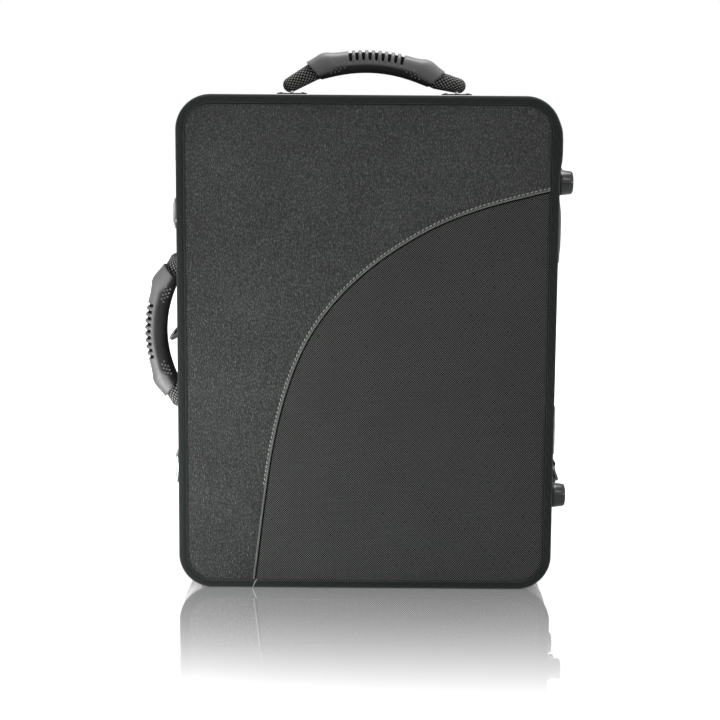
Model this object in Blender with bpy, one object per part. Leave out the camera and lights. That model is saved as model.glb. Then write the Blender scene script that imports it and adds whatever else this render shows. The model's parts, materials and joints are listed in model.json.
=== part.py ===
"""Case for two clarinets, standing upright on its short side with the lid to the front.

X runs to the right as the front is seen, Y to the back, Z up. The origin is the middle of the
underside, at half the depth. All lengths are metres.
"""
import math
from collections import namedtuple

import bmesh
import bpy
from mathutils import Matrix, Vector

# Overall case
case_width = 0.304
case_height = 0.400
case_depth = 0.118
corner_radius = 0.028
lid_depth = 0.045
wall = 0.0035
fit_gap = 0.0003

# Tape round the front and back edges
tape_width = 0.0082
tape_thickness = 0.0015
tape_edge_radius = 0.0035
panel_relief = 0.0004

# Metal rims where lid and body meet
rim_height = 0.005
tongue_height = 0.003
tongue_inset = 0.0018

# Curved seam between leather and fabric on the front, as a cubic curve: start, two handles, end.
# Each point is a share of half the case's width and a share of its height
seam_shares = ((0.9605, 0.815), (0.0658, 0.760), (-0.6053, 0.555), (-0.6053, 0.0))

# Tray of padded blocks inside the body
base_thickness = 0.018
tray_drop = 0.004
side_rail_width = 0.0150
bottom_rail_width = 0.014
top_rail_width = 0.016
divider_width = 0.009
bell_zone_height = 0.084
mouthpiece_width = 0.032
barrel_pocket_length = 0.071
joint_trough_width = 0.043
block_round = 0.0025
saddle_thickness = 0.026
saddle_floor = 0.0081
bell_radius = 0.0370
lining_thickness = 0.003

# Carrying handles. Each grip is bent to its own arc: half its chord, the rise of the arc, the
# height of its middle over the wall, and the distance from its middle to its anchors
handle_behind = 0.018
top_handle_centre = 0.0050
top_half_chord = 0.0500
top_rise = 0.0109
top_apex = 0.0266
top_anchor_spread = 0.0674
top_slant = math.radians(20.7)
top_lean = math.radians(3.6)
side_handle_centre = 0.2045
side_half_chord = 0.0484
side_rise = 0.0131
side_apex = 0.0236
side_anchor_spread = 0.0598
side_slant = math.radians(21.5)
side_lean = math.radians(0)
pivot_height = 0.0072
strap_radius = 0.0068
strap_core_radius = 0.0050
strap_end_radius = 0.0056
strap_sides = 12
cap_shares = (0.32, 0.63, 0.95)
mouth_share = 0.86
core_share = 0.70
grip_half_height = 0.0091
grip_half_width = 0.0110
grip_squareness_share = 0.8
shoulder_shares = (0.56, 0.66, 0.76, 0.88, 1.0)
knee_height = 0.0014
knee_share = 0.76
knee_spread_share = 0.13
rib_count = 8
rib_zone = 0.0430
rib_share = 0.57
rib_rise = 0.0006
slot_depth = 0.0022
slot_wall = 0.0003
slot_limit_share = 0.15
slot_side_share = 0.5
lug_thickness = 0.0024
lug_radius = 0.0034
pin_radius = 0.0012
pin_length = 0.0096
anchor_plate = (0.024, 0.020, 0.0010)

# Hinges on the right side
lower_hinge_height = 0.125
upper_hinge_drop = 0.115
hinge_length = 0.040
hinge_knuckle_radius = 0.0028
hinge_pin_radius = 0.0012
hinge_leaf_width = 0.020
leaf_thickness = 0.0012
middle_knuckle = 0.014

# Draw latches on the left side
lower_latch_height = 0.0922
upper_latch_drop = 0.0960
latch_plate_length = 0.029
latch_plate_half = 0.0126
latch_pivot_out = 0.0042
latch_pivot_back = 0.0060
bail_pivot_back = 0.0140
bail_wire = 0.0010
bail_reach = 0.0080
bail_half = 0.0116
bail_pin_depth = 0.0026
lever_half = 0.0080
lever_barrel = 0.0021
lever_length = 0.0270
lever_thickness = 0.0020
lever_lip = 0.0022
lug_width = 0.0016
strike_half = 0.0080
strike_length = 0.0150
strike_post = 0.0032
strike_post_height = 0.0062
strike_tip_share = 0.25
lug_flare_share = 1.2
lever_under_share = 0.4
lever_crown_share = 0.5
lever_tail_share = 0.3
bail_corner_share = 0.3

# Feet on the right side
lower_foot_height = 0.0750
upper_foot_drop = 0.0685
foot_base_radius = 0.0104
foot_tip_radius = 0.0093
foot_height = 0.0120
foot_edge = 0.0012
lid_foot_from_front = 0.023
body_foot_from_back = 0.025

# Rings for a shoulder strap
ring_wire = 0.0015
ring_half_width = 0.0100
ring_length = 0.0150
ring_out = 0.0048
ring_tab_width = 0.0140
ring_tab_length = 0.0240
ring_tab_thickness = 0.0020
left_ring_from_back = 0.016
left_ring_height = 0.2030
right_ring_behind = 0.022
right_ring_height = 0.0925
left_ring_drop = math.radians(35)
right_ring_drop = math.radians(68)

# Facets
corner_steps = 6
edge_steps = 3
wire_sides = 8
round_sides = 20
seam_steps = 20
arc_steps = 8
smooth_angle = math.radians(35)
flat_angle = math.radians(0.5)
merge_gap = 0.000005
parallel_share = 0.9
bevel_share = 0.5

# Places worked out from the dimensions above
half_width = case_width / 2
front = -case_depth / 2
back = case_depth / 2
parting = front + lid_depth
hinge_axis_x = half_width + fit_gap + hinge_knuckle_radius
tray_front = parting + tray_drop
shell_back = back - tape_thickness - fit_gap
shell_front = front + tape_thickness + fit_gap
body_floor = shell_back - wall
lid_floor = shell_front + wall
base_front = body_floor - fit_gap - base_thickness
bell_axis = base_front - fit_gap - saddle_floor - bell_radius
hinge_heights = (lower_hinge_height, case_height - upper_hinge_drop)
latch_heights = (lower_latch_height, case_height - upper_latch_drop)
foot_heights = (lower_foot_height, case_height - upper_foot_drop)
lid_foot_depth = front + lid_foot_from_front
body_foot_depth = back - body_foot_from_back
handle_plane = parting + handle_behind
left_ring = (back - left_ring_from_back, left_ring_height)
right_ring = (parting + right_ring_behind, right_ring_height)

# Colour (sRGB), roughness, metallic
finishes = {
    "leather": ((70, 73, 71), 0.55, 0.0),
    "fabric": ((59, 61, 60), 0.85, 0.0),
    "tape": ((44, 49, 47), 0.80, 0.0),
    "rim": ((150, 152, 152), 0.35, 1.0),
    "plush": ((38, 40, 44), 0.95, 0.0),
    "rubber": ((78, 79, 78), 0.60, 0.0),
    "webbing": ((42, 44, 44), 0.90, 0.0),
    "chrome": ((205, 207, 208), 0.18, 1.0),
    "foot": ((52, 55, 55), 0.40, 0.0),
}


def linear(channel):
    share = channel / 255
    return share / 12.92 if share <= 0.04045 else ((share + 0.055) / 1.055) ** 2.4


def finish(name, kind):
    colour, roughness, metallic = finishes[kind]
    material = bpy.data.materials.new(name + "_" + kind)
    material.use_nodes = True
    shader = material.node_tree.nodes["Principled BSDF"]
    shader.inputs["Base Color"].default_value = [linear(value) for value in colour] + [1]
    shader.inputs["Roughness"].default_value = roughness
    shader.inputs["Metallic"].default_value = metallic
    return material


def build_object(name, kind, shape, smooth=False, origin=None):
    """Make a named object of a finished bmesh, with faces out and its origin on the given point."""
    bmesh.ops.recalc_face_normals(shape, faces=shape.faces)
    if origin is not None:
        bmesh.ops.translate(shape, verts=shape.verts, vec=-Vector(origin))
    mesh = bpy.data.meshes.new(name)
    shape.to_mesh(mesh)
    shape.free()
    if smooth:
        mesh.shade_smooth()
        mesh.set_sharp_from_angle(angle=smooth_angle)
    mesh.materials.append(finish(name, kind))
    made = bpy.data.objects.new(name, mesh)
    if origin is not None:
        made.location = origin
    bpy.context.scene.collection.objects.link(made)
    return made


def loft(rings, closed=False):
    """Join rings of equal length into a closed skin: capped at both ends, or run back to the first."""
    shape = bmesh.new()
    loops = [[shape.verts.new(point) for point in ring] for ring in rings]
    count = len(loops[0])
    joints = list(zip(loops, loops[1:]))
    if closed:
        joints.append((loops[-1], loops[0]))
    for lower, upper in joints:
        for index in range(count):
            after = (index + 1) % count
            shape.faces.new((lower[index], lower[after], upper[after], upper[index]))
    if not closed:
        shape.faces.new(loops[0][::-1])
        shape.faces.new(loops[-1])
    return shape


def tube(path, radius, sides=wire_sides, closed=False, roll_about=None):
    """Sweep a circle along a path. The radius is one number or one for each point."""
    count = len(path)
    radii = radius if isinstance(radius, (list, tuple)) else [radius] * count
    rings = []
    side = None
    for index, point in enumerate(path):
        before = path[index - 1] if index or closed else point
        after = path[(index + 1) % count] if index < count - 1 or closed else point
        along = (after - before).normalized()
        if side is None:
            seed = roll_about or Vector((0, 0, 1))
            if abs(along.dot(seed)) > parallel_share:
                seed = Vector((1, 0, 0))
            side = along.cross(seed).normalized()
        side = (side - along * side.dot(along)).normalized()
        up = along.cross(side)
        rings.append([
            point + (side * math.cos(turn) + up * math.sin(turn)) * radii[index]
            for turn in (math.tau * step / sides for step in range(sides))
        ])
    return loft(rings, closed)


def box(low, high):
    centre = (Vector(low) + Vector(high)) / 2
    size = Vector(high) - Vector(low)
    shape = bmesh.new()
    place = Matrix.Translation(centre) @ Matrix.Diagonal((*size, 1))
    bmesh.ops.create_cube(shape, size=1, matrix=place)
    return shape


def rod(start, end, radius, sides=round_sides):
    return tube([Vector(start), Vector(end)], radius, sides)


def prism(outline, axis, low, high):
    """Extrude a flat outline along X, Y or Z. Its points give the other two coordinates in order."""
    def place(point, level):
        values = list(point)
        values.insert("XYZ".index(axis), level)
        return Vector(values)
    return loft([[place(point, level) for point in outline] for level in (low, high)])


def as_scratch(shape):
    bmesh.ops.recalc_face_normals(shape, faces=shape.faces)
    mesh = bpy.data.meshes.new("scratch")
    shape.to_mesh(mesh)
    shape.free()
    made = bpy.data.objects.new("scratch", mesh)
    bpy.context.scene.collection.objects.link(made)
    return made


def combine(first, others, operation):
    """Join solids to the first one, or cut them from it, and give back the result."""
    target = as_scratch(first)
    for other in others:
        tool = as_scratch(other)
        modifier = target.modifiers.new("combine", "BOOLEAN")
        modifier.operation = operation
        modifier.solver = "EXACT"
        modifier.object = tool
        view = target.evaluated_get(bpy.context.evaluated_depsgraph_get())
        result = bpy.data.meshes.new_from_object(view)
        target.modifiers.remove(modifier)
        target.data = result
        bpy.data.objects.remove(tool)
    shape = bmesh.new()
    shape.from_mesh(target.data)
    bpy.data.objects.remove(target)
    bmesh.ops.remove_doubles(shape, verts=shape.verts, dist=merge_gap)
    bmesh.ops.dissolve_limit(shape, angle_limit=flat_angle, verts=shape.verts, edges=shape.edges)
    return shape


def case_outline(inset):
    """Outline of the case in X and Z, moved in by the inset, with its round corners."""
    radius = max(corner_radius - inset, fit_gap)
    reach = half_width - inset - radius
    low = inset + radius
    high = case_height - inset - radius
    points = []
    centres = ((reach, high), (-reach, high), (-reach, low), (reach, low))
    for start, (centre_x, centre_z) in enumerate(centres):
        for step in range(corner_steps + 1):
            turn = (start + step / corner_steps) * math.pi / 2
            points.append((centre_x + radius * math.cos(turn), centre_z + radius * math.sin(turn)))
    return points


def case_ring(inset, depth):
    return [Vector((x, depth, z)) for x, z in case_outline(inset)]


def quarter(centre_inset, centre_depth, radius, toward):
    """Quarter round over an edge of the case, from its side to its face, as insets and depths."""
    return [
        (centre_inset - radius * math.cos(turn), centre_depth + toward * radius * math.sin(turn))
        for turn in (step / edge_steps * math.pi / 2 for step in range(edge_steps + 1))
    ]


# Shells, tapes, rims and panels
def shell(name, open_edge, face, toward, origin):
    floor = face - toward * wall
    tape_edge = face + toward * (tape_thickness + fit_gap - tape_width) - toward * fit_gap
    under_tape = tape_thickness + fit_gap
    edge = tape_edge_radius - tape_thickness
    sections = [(wall, floor), (wall, open_edge), (0, open_edge), (0, tape_edge), (under_tape, tape_edge)]
    sections += quarter(under_tape + edge, face - toward * edge, edge, toward)
    return build_object(name, "fabric", loft([case_ring(*section) for section in sections]), True, origin)


def tape(name, face, toward, origin):
    inner = tape_edge_radius - tape_thickness
    sections = [(0, face - toward * tape_width)]
    sections += quarter(tape_edge_radius, face - toward * tape_edge_radius, tape_edge_radius, toward)
    sections += [(tape_width, face), (tape_width, face - toward * tape_thickness)]
    sections += quarter(tape_edge_radius, face - toward * tape_edge_radius, inner, toward)[::-1]
    sections += [(tape_thickness, face - toward * tape_width)]
    shape = loft([case_ring(*section) for section in sections], closed=True)
    return build_object(name, "tape", shape, True, origin)


def body_rim():
    edge = parting + fit_gap / 2
    far = parting + rim_height
    tip = parting - tongue_height
    sections = [(0, edge), (tongue_inset, edge), (tongue_inset, tip), (wall, tip), (wall, far), (0, far)]
    shape = loft([case_ring(*section) for section in sections], closed=True)
    return build_object("body_rim", "rim", shape, True)


def lid_rim(origin):
    edge = parting - fit_gap / 2
    far = parting - rim_height
    seat = parting - tongue_height - fit_gap
    lip = tongue_inset - fit_gap
    sections = [(0, edge), (0, far), (wall, far), (wall, seat), (lip, seat), (lip, edge)]
    shape = loft([case_ring(*section) for section in sections], closed=True)
    return build_object("lid_rim", "rim", shape, True, origin)


def seam_points(offset):
    """Points down the seam, moved sideways by the offset, to the leather's side where it is positive."""
    corners = [Vector((across * half_width, up * case_height)) for across, up in seam_shares]
    points = []
    for step in range(seam_steps + 1):
        share = step / seam_steps
        rest = 1 - share
        weights = (rest ** 3, 3 * rest ** 2 * share, 3 * rest * share ** 2, share ** 3)
        slopes = (-rest ** 2, rest ** 2 - 2 * rest * share, 2 * rest * share - share ** 2, share ** 2)
        place = sum((corner * weight for corner, weight in zip(corners, weights)), Vector((0, 0)))
        along = sum((corner * slope for corner, slope in zip(corners, slopes)), Vector((0, 0))).normalized()
        points.append(place + Vector((along.y, -along.x)) * offset)
    return points


def front_panels(origin):
    inset = tape_width + fit_gap
    right = half_width - inset
    bottom = inset
    outline = [Vector(point) for point in case_outline(inset)]
    quarter_count = corner_steps + 1
    leather_seam = [p for p in seam_points(fit_gap / 2) if p.x < right and p.y > bottom]
    fabric_seam = [p for p in seam_points(-fit_gap / 2) if p.x < right and p.y > bottom]
    for seam in (leather_seam, fabric_seam):
        seam.insert(0, Vector((right, seam[0].y)))
        seam.append(Vector((seam[-1].x, bottom)))
    leather = outline[:3 * quarter_count] + leather_seam[::-1]
    fabric = fabric_seam + outline[3 * quarter_count:]
    seat = shell_front - fit_gap
    for name, kind, border, relief in (
        ("front_leather_panel", "leather", leather, 0),
        ("front_fabric_panel", "fabric", fabric, panel_relief),
    ):
        build_object(name, kind, prism(border, "Y", front + relief, seat), False, origin)


def back_panel():
    shape = prism(case_outline(tape_width + fit_gap), "Y", shell_back + fit_gap, back)
    build_object("back_panel", "leather", shape)


# Padded tray
def clip(outline, axis, limit, keep_above):
    """Cut a convex outline along a straight line across X (axis 0) or Z (axis 1)."""
    kept = []
    for index, point in enumerate(outline):
        after = outline[(index + 1) % len(outline)]
        inside = (point[axis] >= limit) == keep_above
        if inside:
            kept.append(point)
        if inside != ((after[axis] >= limit) == keep_above):
            share = (limit - point[axis]) / (after[axis] - point[axis])
            kept.append(tuple(a + (b - a) * share for a, b in zip(point, after)))
    return kept


def tray_block(name, left, right, low, high, near=tray_front, far=base_front - fit_gap):
    """A padded block with round front edges, kept inside the round corners of the shell."""
    outline = case_outline(wall + fit_gap)
    for axis, limit, above in ((0, left, True), (0, right, False), (1, low, True), (1, high, False)):
        outline = clip(outline, axis, limit, above)
    shape = prism(outline, "Y", near, far)
    edges = [edge for edge in shape.edges if all(abs(vert.co.y - near) < fit_gap / 3 for vert in edge.verts)]
    bmesh.ops.bevel(shape, geom=edges, offset=block_round, segments=2, profile=bevel_share, affect="EDGES")
    build_object(name, "plush", shape)


def bell_saddle(name, left, right, low, high):
    """A block across a bell pocket, hollowed to the round of the bell."""
    centre = (low + high) / 2
    top = tray_front + block_round * 2
    start = math.asin(max(top - bell_axis, 0) / bell_radius)
    steps = 2 * corner_steps
    outline = [(top, low), (base_front - fit_gap, low), (base_front - fit_gap, high), (top, high)]
    if bell_axis > top:
        outline.append((top, centre + bell_radius))
    for step in range(steps + 1):
        turn = start + (math.pi - 2 * start) * step / steps
        depth = bell_axis + bell_radius * math.sin(turn)
        outline.append((depth, centre + bell_radius * math.cos(turn)))
    if bell_axis > top:
        outline.append((top, centre - bell_radius))
    build_object(name, "plush", prism(outline, "X", left, right))


def tray():
    inner = half_width - wall - fit_gap
    low = wall + fit_gap
    high = case_height - low
    rail = inner - side_rail_width
    trough_low = low + bottom_rail_width
    zone_high = high - top_rail_width
    zone_low = zone_high - bell_zone_height
    trough_high = zone_low - divider_width
    base = prism(case_outline(wall + fit_gap), "Y", base_front, body_floor - fit_gap)
    build_object("tray_base", "plush", base)
    tray_block("tray_rail_left", -inner, -rail, low, high)
    tray_block("tray_rail_right", rail, inner, low, high)
    between = rail - fit_gap
    tray_block("tray_rail_bottom", -between, between, low, trough_low)
    tray_block("tray_rail_top", -between, between, zone_high, high)
    tray_block("tray_cross_wall", -between, between, trough_high, zone_low)
    outer_divider = rail - joint_trough_width
    inner_divider = outer_divider - divider_width - joint_trough_width
    trough = (trough_low + fit_gap, trough_high - fit_gap)
    zone = (zone_low + fit_gap, zone_high - fit_gap)
    for side, word in ((-1, "left"), (1, "right")):
        for place, label in ((outer_divider, "outer"), (inner_divider, "inner")):
            ends = sorted((side * place, side * (place - divider_width)))
            tray_block("tray_divider_" + word + "_" + label, *ends, *trough)
        bell_edge = mouthpiece_width / 2
        ends = sorted((side * bell_edge, side * (bell_edge + divider_width)))
        tray_block("bell_wall_" + word, *ends, *zone)
        middle = side * (bell_edge + divider_width + rail) / 2
        half = saddle_thickness / 2
        bell_saddle("bell_saddle_" + word, middle - half, middle + half, *zone)
    column = inner_divider - divider_width - fit_gap
    for index, word in enumerate(("upper", "lower")):
        top = trough_high - barrel_pocket_length - index * (barrel_pocket_length + divider_width)
        tray_block("column_bridge_" + word, -column, column, top - divider_width, top)


def lid_lining(origin):
    seat = lid_floor + fit_gap
    shape = prism(case_outline(wall + fit_gap), "Y", seat, seat + lining_thickness)
    build_object("lid_lining", "plush", shape, False, origin)


# Hinges
def hinge_leaf(name, height, toward, kind_of, origin):
    """One leaf with its knuckles: the two outer ones and the pin on the body, the middle one on the lid."""
    near = half_width + fit_gap
    clear = hinge_knuckle_radius + fit_gap
    half = hinge_length / 2
    middle = middle_knuckle / 2
    outer = middle + fit_gap
    ends = sorted((parting + toward * clear, parting + toward * hinge_leaf_width))
    leaf = box((near, ends[0], height - half), (near + leaf_thickness, ends[1], height + half))
    bands = [(-middle, middle)] if kind_of == "lid" else [(-half, -outer), (outer, half)]
    parts = []
    for low, high in bands:
        inward = sorted((parting, parting + toward * (clear + leaf_thickness)))
        parts.append(box((near, inward[0], height + low), (near + leaf_thickness, inward[1], height + high)))
        parts.append(rod((hinge_axis_x, parting, height + low), (hinge_axis_x, parting, height + high),
                         hinge_knuckle_radius, round_sides))
    if kind_of == "body":
        parts.append(rod((hinge_axis_x, parting, height - outer), (hinge_axis_x, parting, height + outer),
                         hinge_pin_radius, wire_sides))
    shape = combine(leaf, parts, "UNION")
    if kind_of == "lid":
        bore = rod((hinge_axis_x, parting, height - half), (hinge_axis_x, parting, height + half),
                   hinge_pin_radius + fit_gap, wire_sides)
        shape = combine(shape, [bore], "DIFFERENCE")
    build_object(name, "chrome", shape, True, origin)


# Draw latches. Their outlines are in Y and X, as distances back from the parting and out from the wall
def latch_point(back_by, out):
    return (-half_width - out, parting + back_by)


def latch_outline(points):
    return [latch_point(*point) for point in points]


def latch_rod(back_by, out, radius, low, high, sides=round_sides):
    x, y = latch_point(back_by, out)
    return rod((x, y, low), (x, y, high), radius, sides)


def latch_plate(name, height):
    plate = prism(latch_outline([(fit_gap, fit_gap), (latch_plate_length, fit_gap),
                                 (latch_plate_length, fit_gap + leaf_thickness),
                                 (fit_gap, fit_gap + leaf_thickness)]),
                  "Z", height - latch_plate_half, height + latch_plate_half)
    parts = []
    for side in (-1, 1):
        near = height + side * (lever_half + fit_gap)
        low, high = sorted((near, near + side * lug_width))
        foot = lever_barrel * lug_flare_share
        seat = fit_gap + leaf_thickness / 2
        lug = [(latch_pivot_back - foot, seat), (latch_pivot_back + foot, seat),
               (latch_pivot_back + lever_barrel, latch_pivot_out),
               (latch_pivot_back - lever_barrel, latch_pivot_out)]
        parts.append(prism(latch_outline(lug), "Z", low, high))
        parts.append(latch_rod(latch_pivot_back, latch_pivot_out, lever_barrel, low, high))
    pin_reach = lever_half + fit_gap + lug_width / 2
    parts.append(latch_rod(latch_pivot_back, latch_pivot_out, bail_wire, height - pin_reach,
                           height + pin_reach, wire_sides))
    build_object(name, "chrome", combine(plate, parts, "UNION"), True)


def latch_lever(name, height, origin):
    """A pressed lever: barrel on the plate's pin, boss for the bail, arched arm and a lip for the finger."""
    low = height - lever_half
    high = height + lever_half
    under = latch_pivot_out + lever_barrel * lever_under_share
    top = under + lever_thickness
    arm = [(latch_pivot_back - lever_barrel, under), (bail_pivot_back, under), (lever_length, under),
           (lever_length + lever_lip, under + lever_lip), (lever_length + lever_lip, top + lever_lip),
           (lever_length - lever_lip, top + lever_lip * lever_tail_share),
           (bail_pivot_back, top + lever_lip * lever_crown_share),
           (latch_pivot_back, top), (latch_pivot_back - lever_barrel, under + lever_thickness / 2)]
    shape = prism(latch_outline(arm), "Z", low, high)
    parts = [latch_rod(latch_pivot_back, latch_pivot_out, lever_barrel, low, high),
             latch_rod(bail_pivot_back, latch_pivot_out, lever_barrel, low, high)]
    shape = combine(shape, parts, "UNION")
    bore = bail_wire + fit_gap
    bores = [latch_rod(latch_pivot_back, latch_pivot_out, bore, low - wall, high + wall, wire_sides),
             latch_rod(bail_pivot_back, latch_pivot_out, bore, low - wall, high + wall, wire_sides)]
    build_object(name, "chrome", combine(shape, bores, "DIFFERENCE"), True, origin)


def latch_bail(name, height, origin):
    """A wire loop: two pins into the lever, two legs past its sides and a bar behind the strike."""
    corner = bail_wire * 2
    x, pivot = latch_point(bail_pivot_back, latch_pivot_out)
    bar = parting - bail_reach
    inner = lever_half - bail_pin_depth
    cut = corner * bail_corner_share
    half_path = [(pivot, inner), (pivot, bail_half - corner), (pivot - cut, bail_half - cut),
                 (pivot - corner, bail_half), (bar + corner, bail_half), (bar + cut, bail_half - cut),
                 (bar, bail_half - corner)]
    path = [Vector((x, y, height + z)) for y, z in half_path]
    path += [Vector((x, y, height - z)) for y, z in half_path[::-1]]
    build_object(name, "chrome", tube(path, bail_wire, roll_about=Vector((1, 0, 0))), True, origin)


def latch_strike(name, height, origin):
    bar = bail_reach - bail_wire - fit_gap
    tip = strike_post * strike_tip_share
    plate = [(-fit_gap, fit_gap), (-strike_length, fit_gap), (-strike_length, fit_gap + leaf_thickness),
             (-bar, fit_gap + leaf_thickness), (-bar, latch_pivot_out), (-bar + tip, strike_post_height),
             (-bar + strike_post - tip, strike_post_height), (-bar + strike_post, latch_pivot_out),
             (-bar + strike_post, fit_gap + leaf_thickness), (-fit_gap, fit_gap + leaf_thickness)]
    shape = prism(latch_outline(plate), "Z", height - strike_half, height + strike_half)
    build_object(name, "chrome", shape, False, origin)


# Feet
def foot(name, depth, height, origin=None):
    base = half_width + fit_gap
    profile = [(foot_base_radius, 0), (foot_tip_radius, foot_height - foot_edge),
               (foot_tip_radius - foot_edge, foot_height)]
    rings = [
        [Vector((base + out, depth + radius * math.cos(turn), height + radius * math.sin(turn)))
         for turn in (math.tau * step / round_sides for step in range(round_sides))]
        for radius, out in profile
    ]
    build_object(name, "foot", loft(rings), True, origin)


# Shoulder strap rings
def ring_point(side, depth, out, lift):
    return Vector((side * (half_width + out), depth, lift))


def ring_tab(name, side, depth, height):
    """A folded tab that holds the straight bar of the ring."""
    half = ring_tab_length / 2
    skin = ring_wire + fit_gap + ring_tab_thickness
    thin = fit_gap + ring_tab_thickness / 2
    thick = ring_out + skin / 2
    outline = [(side * (half_width + out), height + lift) for out, lift in (
        (fit_gap, -half), (fit_gap, half), (thin, half), (thick, skin), (thick, -skin), (thin, -half))]
    near = depth - ring_tab_width / 2
    far = depth + ring_tab_width / 2
    shape = prism(outline, "Y", near, far)
    centre = ring_point(side, depth, ring_out, height)
    lump = rod((centre.x, near, centre.z), (centre.x, far, centre.z), skin, 2 * wire_sides)
    bore = ring_wire + fit_gap
    eye = rod((centre.x, near - wall, centre.z), (centre.x, far + wall, centre.z), bore, 2 * wire_sides)
    shape = combine(combine(shape, [lump], "UNION"), [eye], "DIFFERENCE")
    build_object(name, "webbing", shape, True)


def shoulder_ring(name, side, depth, height, drop):
    """A D of round wire: the straight bar lies in the tab, the bow hangs out and down by the drop."""
    bow = ring_half_width
    straight = ring_length - bow
    flat = [(-bow, 0), (-bow / 2, 0), (bow / 2, 0), (bow, 0), (bow, straight)]
    flat += [(bow * math.cos(turn), straight + bow * math.sin(turn))
             for turn in (math.pi * step / arc_steps for step in range(1, arc_steps))]
    flat += [(-bow, straight)]
    pivot = ring_point(side, depth, ring_out, height)
    outward = Vector((side * math.cos(drop), 0, -math.sin(drop)))
    path = [pivot + Vector((0, across, 0)) + outward * reach for across, reach in flat]
    shape = tube(path, ring_wire, closed=True, roll_about=Vector((0, 1, 0)).cross(outward))
    build_object(name, "chrome", shape, True, pivot)


# Handles. Their own coordinates are along the handle, out from the wall and across it
def top_place(along, out, across):
    return Vector((top_handle_centre + along, handle_plane + across, case_height + out))


def side_place(along, out, across):
    return Vector((-half_width - out, handle_plane + across, side_handle_centre + along))


Arc = namedtuple("Arc", "radius half_angle apex slant lean spread")


def bent_arc(half_chord, rise, apex, slant, lean, spread):
    radius = (half_chord ** 2 + rise ** 2) / (2 * rise)
    return Arc(radius, math.asin(half_chord / radius), apex, slant, lean, spread)


def grip_frame(share, arc):
    """Centre and upward direction of the grip at a share of its half length, from -1 to 1."""
    turn = arc.half_angle * share
    along = arc.radius * math.sin(turn)
    out = arc.apex - arc.radius * (1 - math.cos(turn))
    tilt = turn + arc.slant * share ** 3
    leaning = Matrix.Rotation(-arc.lean, 2)
    centre = leaning @ Vector((along, out - pivot_height))
    up = leaning @ Vector((math.sin(tilt), math.cos(tilt)))
    return Vector((centre.x, centre.y + pivot_height)), up


def grip_sections(arc):
    """Shares along the grip with how far its top is cut there, from end to end. Ribs stand proud."""
    pitch = rib_zone / (rib_count + 1 - rib_share)
    slot = pitch * (1 - rib_share)
    start = -rib_zone / 2
    marks = []
    for index in range(rib_count + 1):
        near = start + index * pitch
        before = 0 if index == 0 else -rib_rise
        after = 0 if index == rib_count else -rib_rise
        marks += [(near, before), (near + slot_wall, slot_depth), (near + slot - slot_wall, slot_depth),
                  (near + slot, after)]
    ribbed = [(math.asin(place / arc.radius) / arc.half_angle, depth) for place, depth in marks]
    return ([(-share, 0) for share in shoulder_shares[::-1]] + ribbed
            + [(share, 0) for share in shoulder_shares])


def strap_shares():
    """Shares along the grip where the strap and the bore round it have their sections, right to left."""
    half = [1, mouth_share, core_share, core_share * 2 / 3, core_share / 3]
    return half + [0] + [-share for share in half[::-1]]


def strap_radius_at(share):
    return strap_radius if abs(share) >= mouth_share else strap_core_radius


def section_ring(place, centre, up, half_height, half_across, top_cut=0, squareness=grip_squareness_share,
                 sides=2 * wire_sides):
    """A rounded section square to the handle. The cut lowers its upper half, for the slots between ribs."""
    ring = []
    for step in range(sides):
        turn = math.pi * (2 * step + 1) / sides
        rise = math.copysign(abs(math.sin(turn)) ** squareness, math.sin(turn))
        across = math.copysign(abs(math.cos(turn)) ** squareness, math.cos(turn))
        cut = top_cut if rise > slot_limit_share else 0
        height = rise * half_height - cut * rise
        point = centre + up * height
        ring.append(place(point.x, point.y, across * (half_across - cut * slot_side_share)))
    return ring


def grip(name, place, arc, origin):
    outer = []
    for share, cut in grip_sections(arc):
        centre, up = grip_frame(share, arc)
        knee = knee_height * math.exp(-((abs(share) - knee_share) / knee_spread_share) ** 2)
        outer.append(section_ring(place, centre + up * (knee / 2), up, grip_half_height + knee / 2,
                                  grip_half_width, cut))
    inner = []
    for share in strap_shares():
        centre, up = grip_frame(share, arc)
        bore = strap_radius_at(share) + 2 * fit_gap
        inner.append(section_ring(place, centre, up, bore / math.cos(arc.slant * share ** 3), bore, 0, 1))
    build_object(name, "rubber", loft(outer + inner, closed=True), True, origin)


def strap_path(arc):
    """Points and radii along the strap: from one pin through the grip to the other, with round ends."""
    points = [(grip_frame(share, arc)[0], strap_radius_at(share)) for share in strap_shares()[::-1]]
    first = Vector((-arc.spread, pivot_height))
    last = Vector((arc.spread, pivot_height))
    path = [(first, strap_end_radius)] + points + [(last, strap_end_radius)]
    for end, neighbour, where in ((first, points[0][0], 0), (last, points[-1][0], None)):
        away = (end - neighbour).normalized()
        caps = []
        for share in cap_shares:
            turn = math.pi / 2 * share
            caps.append((end + away * strap_end_radius * math.sin(turn), strap_end_radius * math.cos(turn)))
        path = caps[::-1] + path if where == 0 else path + caps
    return path


def strap(name, place, arc, origin):
    path = strap_path(arc)
    spine = [place(point.x, point.y, 0) for point, _ in path]
    shape = tube(spine, [radius for _, radius in path], strap_sides, roll_about=Vector((0, 1, 0)))
    slot_half = lug_thickness / 2 + fit_gap
    slot_top = pivot_height + lug_radius + fit_gap
    cutters = []
    for side in (-1, 1):
        middle = side * arc.spread
        corners = [place(middle - slot_half, -fit_gap, -2 * strap_radius),
                   place(middle + slot_half, slot_top, 2 * strap_radius)]
        low = [min(pair) for pair in zip(*corners)]
        high = [max(pair) for pair in zip(*corners)]
        cutters.append(box(low, high))
        reach = pin_length / 2 + fit_gap
        cutters.append(rod(place(middle - reach, pivot_height, 0), place(middle + reach, pivot_height, 0),
                           pin_radius + fit_gap, wire_sides))
    build_object(name, "webbing", combine(shape, cutters, "DIFFERENCE"), True, origin)


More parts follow.
